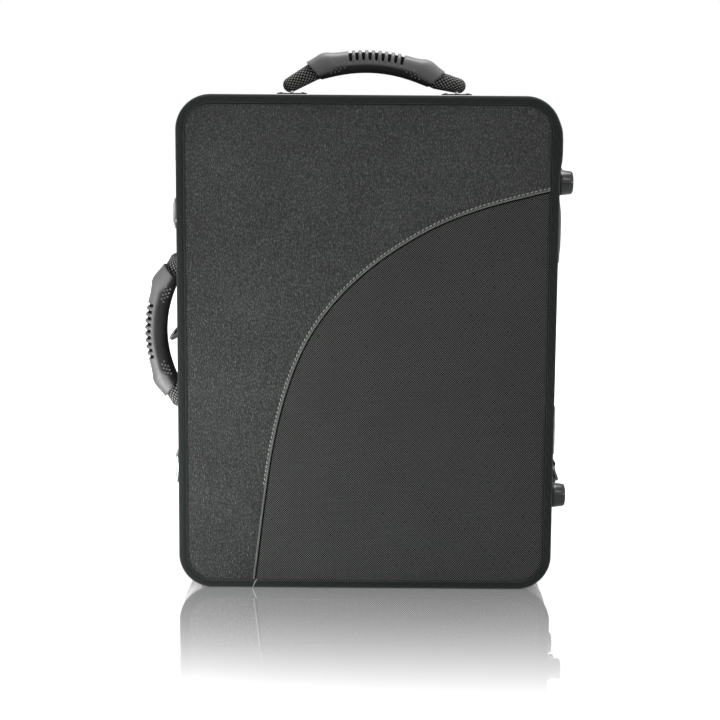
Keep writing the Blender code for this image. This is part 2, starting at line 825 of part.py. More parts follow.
def handle_pin(name, place, middle, origin):
    half = pin_length / 2
    ends = [place(middle + reach, pivot_height, 0) for reach in (-half, half)]
    shape = rod(*ends, pin_radius, wire_sides)
    build_object(name, "chrome", shape, True, origin)


def handle_anchor(name, place, middle):
    """A plate on the wall with an upright eye for the pin."""
    length, breadth, thickness = anchor_plate
    corners = [place(middle - length / 2, fit_gap, -breadth / 2),
               place(middle + length / 2, fit_gap + thickness, breadth / 2)]
    plate = box([min(pair) for pair in zip(*corners)], [max(pair) for pair in zip(*corners)])
    half = lug_thickness / 2
    outline = [(lug_radius, fit_gap + thickness / 2)]
    outline += [(lug_radius * math.cos(turn), pivot_height + lug_radius * math.sin(turn))
                for turn in (math.pi * step / arc_steps for step in range(arc_steps + 1))]
    outline += [(-lug_radius, fit_gap + thickness / 2)]
    levels = (middle - half, middle + half)
    eye = loft([[place(level, out, across) for across, out in outline] for level in levels])
    shape = combine(plate, [eye], "UNION")
    bore = rod(place(middle - length, pivot_height, 0), place(middle + length, pivot_height, 0),
               pin_radius + fit_gap, wire_sides)
    build_object(name, "chrome", combine(shape, [bore], "DIFFERENCE"), True)


def handle(prefix, place, arc, ends):
    origin = place(0, pivot_height, 0)
    grip(prefix + "_grip", place, arc, origin)
    strap(prefix + "_strap", place, arc, origin)
    for middle, word in zip((-arc.spread, arc.spread), ends):
        handle_pin(prefix + "_handle_pin_" + word, place, middle, origin)
        handle_anchor(prefix + "_anchor_" + word, place, middle)


def build():
    for leftover in list(bpy.data.objects):
        bpy.data.objects.remove(leftover)
    lid_origin = Vector((hinge_axis_x, parting, case_height / 2))
    shell("back_shell", parting + rim_height + fit_gap, shell_back, 1, None)
    shell("lid_shell", parting - rim_height - fit_gap, shell_front, -1, lid_origin)
    tape("back_binding", back, 1, None)
    tape("front_binding", front, -1, lid_origin)
    body_rim()
    lid_rim(lid_origin)
    front_panels(lid_origin)
    back_panel()
    tray()
    lid_lining(lid_origin)
    heights = zip(("lower", "upper"), hinge_heights, latch_heights, foot_heights)
    for word, hinge_z, latch_z, foot_z in heights:
        hinge_leaf("hinge_body_leaf_" + word, hinge_z, 1, "body", None)
        hinge_leaf("hinge_lid_leaf_" + word, hinge_z, -1, "lid", lid_origin)
        latch_plate("latch_plate_" + word, latch_z)
        latch_strike("latch_strike_" + word, latch_z, lid_origin)
        lever_axis = Vector((*latch_point(latch_pivot_back, latch_pivot_out), latch_z))
        bail_axis = Vector((*latch_point(bail_pivot_back, latch_pivot_out), latch_z))
        latch_lever("latch_lever_" + word, latch_z, lever_axis)
        latch_bail("latch_bail_" + word, latch_z, bail_axis)
        foot("foot_lid_" + word, lid_foot_depth, foot_z, lid_origin)
        foot("foot_body_" + word, body_foot_depth, foot_z)
    rings = (("left", -1, left_ring, left_ring_drop), ("right", 1, right_ring, right_ring_drop))
    for word, side, place, drop in rings:
        ring_tab("ring_tab_" + word, side, *place)
        shoulder_ring("shoulder_ring_" + word, side, *place, drop)
    top_arc = bent_arc(top_half_chord, top_rise, top_apex, top_slant, top_lean, top_anchor_spread)
    side_arc = bent_arc(side_half_chord, side_rise, side_apex, side_slant, side_lean, side_anchor_spread)
    handle("top", top_place, top_arc, ("left", "right"))
    handle("side", side_place, side_arc, ("lower", "upper"))


build()
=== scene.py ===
import json
import math

import bmesh
import bpy
from mathutils import Matrix, Vector, noise
from mathutils.geometry import delaunay_2d_cdt

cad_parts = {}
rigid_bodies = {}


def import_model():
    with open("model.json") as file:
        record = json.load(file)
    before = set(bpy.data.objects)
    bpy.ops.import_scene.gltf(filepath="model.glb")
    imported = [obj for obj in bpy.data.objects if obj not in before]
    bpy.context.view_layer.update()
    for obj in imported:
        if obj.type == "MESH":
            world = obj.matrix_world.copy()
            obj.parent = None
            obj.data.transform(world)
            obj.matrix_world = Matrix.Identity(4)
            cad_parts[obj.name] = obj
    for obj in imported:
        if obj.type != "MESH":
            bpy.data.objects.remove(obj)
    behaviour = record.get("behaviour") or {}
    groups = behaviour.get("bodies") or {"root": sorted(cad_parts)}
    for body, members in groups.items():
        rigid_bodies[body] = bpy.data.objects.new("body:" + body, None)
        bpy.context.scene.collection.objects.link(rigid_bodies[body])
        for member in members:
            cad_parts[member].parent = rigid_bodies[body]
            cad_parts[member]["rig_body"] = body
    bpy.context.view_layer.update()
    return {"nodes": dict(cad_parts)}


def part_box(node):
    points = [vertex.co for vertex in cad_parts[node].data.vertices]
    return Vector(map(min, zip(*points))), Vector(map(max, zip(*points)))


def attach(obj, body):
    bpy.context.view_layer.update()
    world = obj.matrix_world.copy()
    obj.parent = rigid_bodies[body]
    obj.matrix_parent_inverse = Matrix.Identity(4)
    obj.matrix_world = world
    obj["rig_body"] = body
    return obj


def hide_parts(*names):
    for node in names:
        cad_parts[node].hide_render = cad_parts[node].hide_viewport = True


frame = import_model()
print("frame loaded,", len(frame["nodes"]), "nodes")

# Case for two clarinets. X to the right of the front, Y to the back, Z up, metres
case = {"width": 0.304, "height": 0.400, "depth": 0.118, "corner": 0.028, "parting": -0.014, "wall": 0.0035,
        "gap": 0.0003, "cornerSteps": 20}
halfWidth = case["width"] / 2
frontFace = -case["depth"] / 2
backFace = case["depth"] / 2
gap = case["gap"]


# Shader maths: a wire is one value on its way through a finish's nodes
class Wire:
    def __init__(self, maker, socket):
        self.maker = maker
        self.socket = socket

    def math(self, operation, *others, first=None):
        values = ([first] if first is not None else []) + [self] + list(others)
        return self.maker.add("ShaderNodeMath", {"operation": operation}, dict(enumerate(values)))

    def __add__(self, other):
        return self.math("ADD", other)

    def __radd__(self, other):
        return self.math("ADD", other)

    def __sub__(self, other):
        return self.math("SUBTRACT", other)

    def __rsub__(self, other):
        return self.math("SUBTRACT", first=other)

    def __mul__(self, other):
        return self.math("MULTIPLY", other)

    def __rmul__(self, other):
        return self.math("MULTIPLY", other)

    def __truediv__(self, other):
        return self.math("DIVIDE", other)

    def __pow__(self, other):
        return self.math("POWER", other)

    def sine(self):
        return self.math("SINE")

    def size(self):
        return self.math("ABSOLUTE")

    def atLeast(self, other):
        return self.math("MAXIMUM", other)

    def atMost(self, other):
        return self.math("MINIMUM", other)

    def between(self, low, high):
        return self.maker.add("ShaderNodeMapRange", {"interpolation_type": "SMOOTHSTEP"},
                              {"Value": self, "From Min": low, "From Max": high})


class Finish:
    def __init__(self, name, roughness=0.5, metallic=0.0, sheen=0.0, coat=0.0, coatRoughness=0.1, level=0.5):
        self.material = bpy.data.materials.new(name)
        self.material.use_nodes = True
        self.tree = self.material.node_tree
        self.shader = self.tree.nodes["Principled BSDF"]
        for socket, value in (("Roughness", roughness), ("Metallic", metallic), ("Sheen Weight", sheen),
                              ("Sheen Roughness", 0.5), ("Coat Weight", coat), ("Coat Roughness", coatRoughness),
                              ("Specular IOR Level", level)):
            self.shader.inputs[socket].default_value = value

    def add(self, kind, settings=None, sockets=None, out=0):
        node = self.tree.nodes.new(kind)
        for key, value in (settings or {}).items():
            if key == "stops":
                for index, (place, colour) in enumerate(value):
                    stop = node.color_ramp.elements[index] if index < 2 else node.color_ramp.elements.new(place)
                    stop.position = place
                    stop.color = colour
            else:
                setattr(node, key, value)
        for key, value in (sockets or {}).items():
            self.feed(node.inputs[key], value)
        return Wire(self, node.outputs[out])

    def feed(self, socket, value):
        if isinstance(value, Wire):
            self.tree.links.new(value.socket, socket)
        else:
            socket.default_value = value

    def place(self, turn=(0, 0, 0), stretch=(1, 1, 1), source="Object"):
        start = self.add("ShaderNodeTexCoord", out=source)
        return self.add("ShaderNodeMapping", sockets={"Vector": start, "Rotation": turn, "Scale": stretch})

    def axes(self, vector):
        return [self.add("ShaderNodeSeparateXYZ", sockets={"Vector": vector}, out=axis) for axis in "XYZ"]

    def noise(self, vector, scale, detail=2.0, rough=0.5):
        return self.add("ShaderNodeTexNoise", sockets={"Vector": vector, "Scale": scale, "Detail": detail,
                                                       "Roughness": rough})

    def cells(self, vector, scale, feature="DISTANCE_TO_EDGE"):
        return self.add("ShaderNodeTexVoronoi", {"feature": feature}, {"Vector": vector, "Scale": scale})

    def colours(self, factor, low, high):
        return self.add("ShaderNodeMix", {"data_type": "RGBA"}, {0: factor, 6: low, 7: high}, 2)

    def colour(self, wire):
        self.feed(self.shader.inputs["Base Color"], wire)

    def rough(self, wire):
        self.feed(self.shader.inputs["Roughness"], wire)

    def bump(self, height, distance, strength=1.0):
        normal = self.add("ShaderNodeBump", sockets={"Height": height, "Distance": distance, "Strength": strength})
        self.feed(self.shader.inputs["Normal"], normal)


def tint(red, green, blue):
    values = [channel / 255 for channel in (red, green, blue)]
    return tuple(v / 12.92 if v <= 0.04045 else ((v + 0.055) / 1.055) ** 2.4 for v in values) + (1.0,)


# Leather of the front: upright pebbles of two or three millimetres with soft creases between them
# The edge colour is a painted highlight on the folded edge by the seam; the groove colour is painted shade in the sewn
# groove
grain = {"pebble": 0.0012, "upright": 0.40, "crease": 0.0008, "low": tint(0, 1, 1), "high": tint(68, 72, 69),
         "edge": tint(96, 100, 95), "groove": tint(4, 5, 5)}


def leatherFinish(name, low, high, roughness):
    made = Finish(name, roughness=roughness, level=0.42)
    place = made.place(turn=(0, 0.12, 0), stretch=(1, 1, grain["upright"]))
    drift = made.add("ShaderNodeVectorMath", {"operation": "SCALE"},
                     {0: made.add("ShaderNodeTexNoise", sockets={"Vector": place, "Scale": 300.0}, out=1),
                      "Scale": 0.0022})
    bent = made.add("ShaderNodeVectorMath", {"operation": "ADD"}, {0: place, 1: drift})
    pebbles = made.cells(bent, 1 / grain["pebble"]).between(0.02, 0.34)
    flecks = made.noise(bent, 900.0, 2.0).between(0.44, 0.60)
    broad = made.noise(made.place(), 16.0, 4.0)
    face = made.colours((pebbles * (0.6 + flecks * 0.4) + (broad - 0.5) * 0.6).atLeast(0.0), low, high)
    # Painted light from the shade attribute: over zero a painted highlight on the folded edge by the seam, under zero
    # painted shade in the sewn groove
    shade = made.add("ShaderNodeAttribute", {"attribute_name": "shade"}, out="Fac")
    face = made.colours(shade.atLeast(0.0), face, grain["edge"])
    face = made.colours((0 - shade).atLeast(0.0), face, grain["groove"])
    made.colour(face)
    made.rough(0.66 - pebbles * 0.14 - flecks * 0.10 + broad * 0.1)
    made.bump(pebbles * 0.6 + flecks * 0.4, grain["crease"], 0.9)
    return made.material


# Woven fabric: crossing yarns, seen as a chequer that runs on the slant
weave = {"panelYarn": 0.00094, "sideYarn": 0.00070, "height": 0.00018}


def wovenFinish(name, yarn, low, high):
    made = Finish(name, roughness=0.8, level=0.05)
    place = made.place()
    x, _, z = made.axes(place)
    fuzz = made.noise(place, 900.0, 2.0)
    pull = made.noise(place, 22.0, 2.0) * 3.0
    across = x * (math.pi / yarn) + fuzz * 0.15 + pull
    along = z * (math.pi / yarn) + fuzz * 0.15 + pull
    cross = across.sine() * along.sine()
    lift = cross.atLeast(0.0)
    broad = made.noise(place, 9.0, 3.0)
    face = made.colours(lift * (0.8 + broad * 0.4), low, high)
    # Painted shadow from the shade attribute: the fabric is darkened beside the seam, where the leather's folded edge
    # casts its shade
    shade = made.add("ShaderNodeAttribute", {"attribute_name": "shade"}, out="Fac")
    made.colour(made.colours(shade, face, low))
    made.rough(0.86 - lift * 0.16)
    made.bump(lift + fuzz * 0.25, weave["height"] / 3, 0.8)
    return made.material


def sideWeaveFinish(name, yarn, low, high):
    made = Finish(name, roughness=0.8, sheen=0.3, level=0.35)
    place = made.place()
    x, y, z = made.axes(place)
    fuzz = made.noise(place, 900.0, 2.0)
    lines = (y * (math.pi / yarn) + fuzz * 0.4).sine()
    rows = ((x + z) * (math.pi / yarn) + fuzz * 0.4).sine()
    lift = lines * rows * 0.5 + 0.5
    broad = made.noise(place, 11.0, 3.0)
    made.colour(made.colours(lift * 0.8 + broad * 0.2, low, high))
    made.rough(0.88 - lift * 0.14)
    made.bump(lift + fuzz * 0.3, weave["height"], 0.8)
    return made.material


# Ribbed tape, from the piece's own map in metres: along the tape and across it
def tapeFinish(name, rib, low, high, slant=1.0, height=0.00016):
    made = Finish(name, roughness=0.75, sheen=0.2, level=0.1)
    flat = made.add("ShaderNodeTexCoord", out="UV")
    along, across, _ = made.axes(flat)
    place = made.place()
    fuzz = made.noise(place, 1200.0, 2.0)
    slantLine = ((along + across * slant) * (math.tau / rib) + fuzz * 0.5).sine() * 0.5 + 0.5
    edge = ((across - along * 0.5) * (math.tau / (rib * 2.6))).sine() * 0.5 + 0.5
    broad = made.noise(place, 30.0, 3.0)
    lift = slantLine * 0.8 + edge * 0.2
    made.colour(made.colours(lift * 0.8 + broad * 0.2, low, high))
    made.rough(0.82 - lift * 0.14)
    made.bump(lift + fuzz * 0.3, height, 0.8)
    return made.material


# Braided webbing: yarns that wind both ways round the strap
def braidFinish(name, strand, low, high):
    made = Finish(name, roughness=0.75, level=0.08)
    flat = made.add("ShaderNodeTexCoord", out="UV")
    along, across, _ = made.axes(flat)
    place = made.place()
    fuzz = made.noise(place, 1500.0, 2.0)
    right = ((along + across) * (math.pi / strand)).sine().size()
    left = ((along - across) * (math.pi / strand)).sine().size()
    lift = right.atMost(left)
    made.colour(made.colours((lift * 2.0 - 0.75 + fuzz * 0.1).atLeast(0.0).atMost(1.0), low, high))
    made.rough(0.85 - lift * 0.25)
    made.bump(1 - lift ** 0.5 + fuzz * 0.2, 0.00045, 0.9)
    return made.material


def plushFinish(name, low, high):
    made = Finish(name, roughness=0.95, sheen=0.8, level=0.2)
    place = made.place()
    pile = made.noise(place, 1500.0, 4.0, 0.7)
    nap = made.noise(place, 60.0, 3.0, 0.6)
    made.colour(made.colours(pile * 0.5 + nap * 0.5, low, high))
    made.rough(1.0 - pile * 0.15)
    made.bump(pile + nap * 0.6, 0.0006, 0.8)
    return made.material


def rubberFinish(name, low, high, shine, height=0.00006, under=None, level=0.5):
    made = Finish(name, roughness=shine, level=level)
    place = made.place()
    spark = made.noise(place, 2600.0, 3.0, 0.6)
    broad = made.noise(place, 45.0, 3.0)
    face = made.colours(spark * 0.4 + broad * 0.6, low, high)
    # With under given, the shade attribute darkens the colour towards the underside, and gives painted shade to the
    # slot floors and the bore
    if under:
        shade = made.add("ShaderNodeAttribute", {"attribute_name": "shade"}, out="Fac")
        face = made.colours(shade * (0.85 + broad * 0.3), face, under)
        dull = shade * 0.35
    else:
        dull = 0.0
    made.colour(face)
    made.rough(shine - 0.06 + spark * 0.14 + broad * 0.06 + dull)
    made.bump(spark, height, 0.7)
    return made.material


def metalFinish(name, low, high, shine, stretch=(1, 1, 1)):
    made = Finish(name, roughness=shine, metallic=1.0)
    place = made.place(stretch=stretch)
    lines = made.noise(place, 900.0, 3.0, 0.6)
    smear = made.noise(made.place(), 90.0, 4.0, 0.6)
    made.colour(made.colours(smear * 0.6 + lines * 0.4, low, high))
    made.rough(shine - 0.05 + lines * 0.08 + smear * 0.10)
    made.bump(lines, 0.00002, 0.4)
    return made.material


def threadFinish(name, low, high):
    made = Finish(name, roughness=0.6, sheen=0.3)
    place = made.place()
    twist = (made.axes(place)[0] * 9000.0 + made.axes(place)[2] * 9000.0).sine() * 0.5 + 0.5
    fuzz = made.noise(place, 700.0, 2.0)
    made.colour(made.colours(twist * 0.5 + fuzz * 0.5, low, high))
    made.rough(0.6 + fuzz * 0.2)
    made.bump(twist, 0.00008, 0.6)
    return made.material


finishes = {
    "leather": leatherFinish("case_leather", grain["low"], grain["high"], 0.5),
    "backLeather": leatherFinish("case_back_leather", tint(10, 12, 11), tint(56, 60, 58), 0.55),
    "panelFabric": wovenFinish("case_panel_fabric", weave["panelYarn"], tint(0, 0, 0), tint(120, 121, 120)),
    "sideFabric": sideWeaveFinish("case_side_fabric", weave["sideYarn"], tint(14, 15, 15), tint(50, 53, 52)),
    "tape": tapeFinish("binding_tape_weave", 0.0021, tint(2, 5, 4), tint(34, 40, 38)),
    "tabTape": tapeFinish("ring_tab_weave", 0.0016, tint(24, 26, 26), tint(52, 54, 54), slant=0.0),
    "braid": braidFinish("strap_braid", 0.0034, tint(1, 1, 1), tint(150, 150, 148)),
    "plush": plushFinish("tray_plush", tint(24, 26, 30), tint(58, 60, 66)),
    "rubber": rubberFinish("grip_rubber_satin", tint(88, 89, 88), tint(108, 109, 108), 0.42, under=tint(12, 12, 13)),
    # Dark, dull rubber for the slot floors: painted shade
    "gripSlot": rubberFinish("grip_rubber_slot_painted_shade", tint(18, 18, 18), tint(30, 30, 30), 0.9, level=0.0),
    "foot": rubberFinish("foot_plastic_gloss", tint(12, 14, 14), tint(24, 27, 27), 0.2, 0.00002),
    "chrome": metalFinish("hardware_chrome", tint(150, 152, 154), tint(190, 192, 194), 0.16),
    "blackMetal": metalFinish("hardware_black", tint(30, 31, 32), tint(48, 49, 50), 0.4),
    "ringMetal": metalFinish("ring_dark_chrome", tint(62, 63, 64), tint(104, 105, 106), 0.2),
    "steel": metalFinish("steel_pin", tint(120, 121, 122), tint(160, 162, 163), 0.3),
    "rim": metalFinish("rim_aluminium", tint(136, 138, 139), tint(168, 170, 171), 0.34),
    "seamThread": threadFinish("seam_thread", tint(118, 120, 116), tint(170, 172, 166)),
    # Dark thread for the lower seam: painted shade standing in for the shaded stitch holes
    "darkThread": threadFinish("seam_thread_painted_shade", tint(14, 15, 15), tint(34, 36, 35)),
    "tapeThread": threadFinish("binding_thread", tint(14, 18, 17), tint(36, 42, 40)),
}
print("finishes ready,", len(finishes))


def ramp(value, low, high):
    t = min(max((value - low) / (high - low), 0.0), 1.0)
    return t * t * (3 - 2 * t)


# Meshes
def keepPiece(name, shape, finish, body, slot=None, stands=(), smoothAngle=40, more=()):
    if isinstance(shape, bmesh.types.BMesh):
        mesh = bpy.data.meshes.new(name)
        shape.to_mesh(mesh)
        shape.free()
    else:
        mesh = shape
        mesh.materials.clear()
    for word in (finish,) + tuple(more):
        mesh.materials.append(finishes[word])
    mesh.shade_smooth()
    mesh.set_sharp_from_angle(angle=math.radians(smoothAngle))
    piece = bpy.data.objects.new(name, mesh)
    bpy.context.scene.collection.objects.link(piece)
    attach(piece, body)
    if stands:
        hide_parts(*stands)
    return piece


def skinRings(rings, closed=True, caps=False, mapped=True, turned=None):
    # Quads between rings of points, with a map in metres along the ring and across the rings.
    # A tube's map has its girth as one size, so that its pattern meets itself
    shape = bmesh.new()
    layer = shape.loops.layers.uv.new("metres") if mapped else None
    loops = [[shape.verts.new(point) for point in ring] for ring in rings]
    count = len(loops[0])
    alongs, acrosses = [0.0], [0.0]
    for index in range(count):
        step = turned / count if turned else (rings[0][(index + 1) % count] - rings[0][index]).length
        alongs.append(alongs[-1] + step)
    for lower, upper in zip(rings, rings[1:] + rings[:1]):
        middles = [sum(ring, Vector()) / count for ring in (lower, upper)] if turned else [lower[0], upper[0]]
        acrosses.append(acrosses[-1] + (middles[1] - middles[0]).length)
    pairs = list(zip(range(len(loops)), range(1, len(loops))))
    if closed:
        pairs.append((len(loops) - 1, 0))
    for lower, upper in pairs:
        for index in range(count):
            after = (index + 1) % count
            corners = (loops[lower][index], loops[lower][after], loops[upper][after], loops[upper][index])
            face = shape.faces.new(corners)
            if mapped:
                high = acrosses[upper] if upper else acrosses[-1]
                spots = ((alongs[index], acrosses[lower]), (alongs[index + 1], acrosses[lower]),
                         (alongs[index + 1], high), (alongs[index], high))
                for corner, spot in zip(face.loops, spots):
                    corner[layer].uv = spot
    if caps:
        shape.faces.new(loops[0][::-1])
        shape.faces.new(loops[-1])
    bmesh.ops.recalc_face_normals(shape, faces=shape.faces)
    return shape


def caseOutline(inset):
    # The case's outline in X and Z, moved in, with points along its straight runs too
    turn = max(case["corner"] - inset, 0.0005)
    reach = halfWidth - inset - turn
    low = inset + turn
    high = case["height"] - inset - turn
    corners = []
    for x, z, start in ((reach, high, 0), (-reach, high, 1), (-reach, low, 2), (reach, low, 3)):
        for index in range(case["cornerSteps"] + 1):
            angle = (start + index / case["cornerSteps"]) * math.pi / 2
            corners.append(Vector((x + turn * math.cos(angle), z + turn * math.sin(angle))))
    points = []
    for index, point in enumerate(corners):
        after = corners[(index + 1) % len(corners)]
        points.append(point)
        if (index + 1) % (case["cornerSteps"] + 1) == 0:
            pieces = 60 if abs(after.x - point.x) < abs(after.y - point.y) else 46
            points += [point.lerp(after, share / pieces) for share in range(1, pieces)]
    return points


# Cloth that stands off the right wall of the lid: height, half length, depth, half width and lift of each place
slack = ((0.2935, 0.0260, -0.0475, 0.0045, 0.0029), (0.3600, 0.0165, -0.0530, 0.0065, 0.0021))


def slackAt(x, depth, z):
    if depth > case["parting"]:
        return 0.0
    near = ramp(x, halfWidth - 0.0045, halfWidth - 0.0005)
    return near * sum(lift * math.exp(-((z - height) / long) ** 4 - ((depth - middle) / wide) ** 2)
                      for height, long, middle, wide, lift in slack)


def caseRing(inset, depth, wobble=0.0, seed=0.0):
    ring = []
    for x, z in caseOutline(inset):
        lift = noise.noise(Vector((x * 40, depth * 40 + seed, z * 40))) * wobble if wobble else 0.0
        ring.append(Vector((x + slackAt(x, depth, z), depth + lift, z)))
    return ring


# Tapes round the front and back edges
tapeCut = {"width": 0.0082, "wall": 0.0082, "thick": 0.0015, "round": 0.0035, "edgeRound": 0.0006, "steps": 7}


def bindingTape(name, face, toward, body, node):
    wide, thick, turn = tapeCut["width"], tapeCut["thick"], tapeCut["round"]
    arc = [(turn - turn * math.cos(a), face - toward * turn + toward * turn * math.sin(a))
           for a in (index / tapeCut["steps"] * math.pi / 2 for index in range(tapeCut["steps"] + 1))]
    inner = turn - thick
    innerArc = [(turn - inner * math.cos(a), face - toward * turn + toward * inner * math.sin(a))
                for a in (index / tapeCut["steps"] * math.pi / 2 for index in range(tapeCut["steps"] + 1))]
    soft = tapeCut["edgeRound"]
    side = face - toward * tapeCut["wall"]
    groove = toward * 0.00090
    profile = [(soft / 2, side), (0.0, side + toward * soft)] + arc
    profile += [(wide - 0.0030, face), (wide - 0.0022, face - groove * 0.5), (wide - 0.0016, face - groove),
                (wide - 0.0010, face - groove * 0.5), (wide - soft, face - toward * 0.0001),
                (wide - soft * 0.2, face - toward * soft * 0.6), (wide, face - toward * thick)]
    profile += innerArc[::-1] + [(thick, side)]
    rings = [caseRing(inset, depth, 0.00012, 3.0 * toward) for inset, depth in profile]
    return keepPiece(name, skinRings(rings), "tape", body, "binding_tape", [node])


bindingTape("binding_front", frontFace, -1, "lid", "front_binding")
bindingTape("binding_back", backFace, 1, "case_body", "back_binding")
print("bindings made")


# Covers of the lid and the body: woven outside, plush inside
def shellCover(name, openEdge, face, toward, body, node):
    thick = case["wall"]
    floor = face - toward * thick
    soft = 0.0006
    turn = 0.0020
    sections = [(thick + 0.0, floor - toward * 0.0), (thick, openEdge + toward * soft), (thick - soft, openEdge),
                (soft, openEdge), (0.0, openEdge + toward * soft)]
    wallDepth = abs((face - toward * 0.0072) - openEdge)
    puff = 14
    for index in range(1, puff + 1):
        sections.append((gap, openEdge + toward * (soft + (wallDepth - soft) * index / puff)))
    sections += [(turn - turn * math.cos(a) + 0.0016, face - toward * turn + toward * turn * math.sin(a))
                 for a in (index / 4 * math.pi / 2 for index in range(5))]
    rings = [caseRing(inset, depth) for inset, depth in sections]
    shape = skinRings(rings, closed=False, caps=True)
    for made in shape.faces:
        middle = made.calc_center_median()
        inside = max(abs(middle.x) - (halfWidth - thick * 0.7), abs(middle.z - case["height"] / 2)
                     - (case["height"] / 2 - thick * 0.7)) < 0 and toward * (middle.y - floor) <= 1e-4
        made.material_index = 1 if inside else 0
    return keepPiece(name, shape, "sideFabric", body, "body_fabric", [node], more=("plush",))


shellCover("cover_lid", case["parting"] - 0.0053, frontFace + 0.0018, -1, "lid", "lid_shell")
shellCover("cover_body", case["parting"] + 0.0053, backFace - 0.0018, 1, "case_body", "back_shell")
print("covers made")


# Front and back panels: thin skins over padding
seam = {"places": ((0.1640, 0.3302), (0.1465, 0.3262), (0.1305, 0.3225), (0.0940, 0.3127), (0.0597, 0.2998),
                   (0.0282, 0.2824), (-0.0008, 0.2612), (-0.0269, 0.2351), (-0.0486, 0.2029), (-0.0642, 0.1641),
                   (-0.0751, 0.1198), (-0.0825, 0.0696), (-0.0892, 0.0150), (-0.0918, -0.0050), (-0.0930, -0.0150)),
        "steps": 34, "stitchIn": 0.0024, "stitchEnd": 0.088, "offsets": (0.0004, 0.0009, 0.0014, 0.0019, 0.0024,
                                                                         0.0030, 0.0040)}


def seamCurve():
    # A smooth line through the places
    spots = [Vector(place) for place in seam["places"]]
    points = []
    for a, b, c, d in zip(spots, spots[1:], spots[2:], spots[3:]):
        for index in range(seam["steps"]):
            t = index / seam["steps"]
            points.append(0.5 * (2 * b + (c - a) * t + (2 * a - 5 * b + 4 * c - d) * t ** 2
                                 + (3 * b - a - 3 * c + d) * t ** 3))
    return points


seamLine = seamCurve()


def offsetLine(points, offset):
    moved = []
    for index, point in enumerate(points):
        before = points[max(index - 1, 0)]
        after = points[min(index + 1, len(points) - 1)]
        along = (after - before).normalized()
        moved.append(point + Vector((along.y, -along.x)) * offset)
    return moved


def outlineDistance(x, z, inset):
    # How far inside the inset outline a point lies
    radius = case["corner"] - inset
    dx = abs(x) - (halfWidth - inset - radius)
    dz = abs(z - case["height"] / 2) - (case["height"] / 2 - inset - radius)
    outside = math.hypot(max(dx, 0), max(dz, 0))
    return radius - outside - min(max(dx, dz), 0)


def seamDistance(x, z):
    # Distance to the seam, over zero on the leather's side
    best = 1e9
    spot = 0
    for index in range(0, len(seamLine), 12):
        d = (seamLine[index].x - x) ** 2 + (seamLine[index].y - z) ** 2
        if d < best:
            best, spot = d, index
    for index in range(max(spot - 12, 0), min(spot + 13, len(seamLine))):
        d = (seamLine[index].x - x) ** 2 + (seamLine[index].y - z) ** 2
        if d < best:
            best, spot = d, index
    before = seamLine[max(spot - 1, 0)]
    after = seamLine[min(spot + 1, len(seamLine) - 1)]
    side = (after.x - before.x) * (z - seamLine[spot].y) - (after.y - before.y) * (x - seamLine[spot].x)
    return math.sqrt(best) * (-1 if side > 0 else 1)


def flatSkin(name, border, inner, height, seat, spacing, finish, body, slot, stands, beside=(), shade=None):
    # A closed skin over a flat border, raised by a height that depends on the place
    points = list(border)
    low = [min(p[axis] for p in border) for axis in (0, 1)]
    high = [max(p[axis] for p in border) for axis in (0, 1)]
    grid = []
    rows = int((high[1] - low[1]) / spacing) + 1
    for row in range(rows):
        z = low[1] + row * spacing
        offset = spacing / 2 if row % 2 else 0.0
        for column in range(int((high[0] - low[0]) / spacing) + 1):
            x = low[0] + column * spacing + offset
            if inner(x, z) > spacing * 0.6 and (not beside or abs(seamDistance(x, z)) > 0.0050):
                grid.append(Vector((x, z)))
    points += grid + [Vector(p) for p in beside if inner(p.x, p.y) > 0.0002]
    edges = [(index, (index + 1) % len(border)) for index in range(len(border))]
    verts, _, faces, *_ = delaunay_2d_cdt(points, edges, [list(range(len(border)))], 1, 1e-7)
    shape = bmesh.new()
    layer = shape.verts.layers.float.new("shade")
    made = [shape.verts.new((p.x, height(p.x, p.y), p.y)) for p in verts]
    for face in faces:
        shape.faces.new([made[index] for index in face])
    for vert in made:
        vert[layer] = shade(vert.co.x, vert.co.z) if shade else 0.0
    rim = [edge for edge in shape.edges if len(edge.link_faces) == 1]
    grown = bmesh.ops.extrude_edge_only(shape, edges=rim)["geom"]
    lowered = [item for item in grown if isinstance(item, bmesh.types.BMVert)]
    for vert in lowered:
        vert.co.y = seat
    under = [item for item in grown if isinstance(item, bmesh.types.BMEdge) and len(item.link_faces) == 1]
    bmesh.ops.contextual_create(shape, geom=under)
    bmesh.ops.recalc_face_normals(shape, faces=shape.faces)
    return keepPiece(name, shape, finish, body, slot, stands, smoothAngle=50)


panel = {"inset": 0.0076, "dip": 0.0009, "dipReach": 0.007, "crown": 0.0006, "crownReach": 0.05}


def panelLift(x, z):
    # Padding under the skin: low where the tape holds it, fuller further in
    inside = max(outlineDistance(x, z, panel["inset"]), 0.0)
    held = math.exp(-inside / panel["dipReach"]) * panel["dip"]
    full = (1 - math.exp(-inside / panel["crownReach"])) * panel["crown"]
    soft = noise.noise(Vector((x * 18, 0.3, z * 18))) * 0.00035 + noise.noise(Vector((x * 60, 4.3, z * 60))) * 0.00010
    return full - held + soft


def leatherHeight(x, z):
    # A folded edge stands up beside the seam, with a sewn groove behind it
    away = max(seamDistance(x, z), 0.0)
    fold = (1 - ramp(away, 0.0010, 0.0019)) * 0.00055 * ramp(away, -0.0001, 0.0006)
    groove = math.exp(-((away - seam["stitchIn"]) / 0.0006) ** 2) * 0.00030
    roll = 0.0018 * math.exp(-((z - 0.3590) / 0.025) ** 4 - ((x - 0.1392) / 0.0038) ** 2)
    return frontFace - panelLift(x, z) - fold + groove - roll


def fabricHeight(x, z):
    away = max(-seamDistance(x, z), 0.0)
    return frontFace - panelLift(x, z) + 0.0004 + 0.0005 * math.exp(-away / 0.0012)


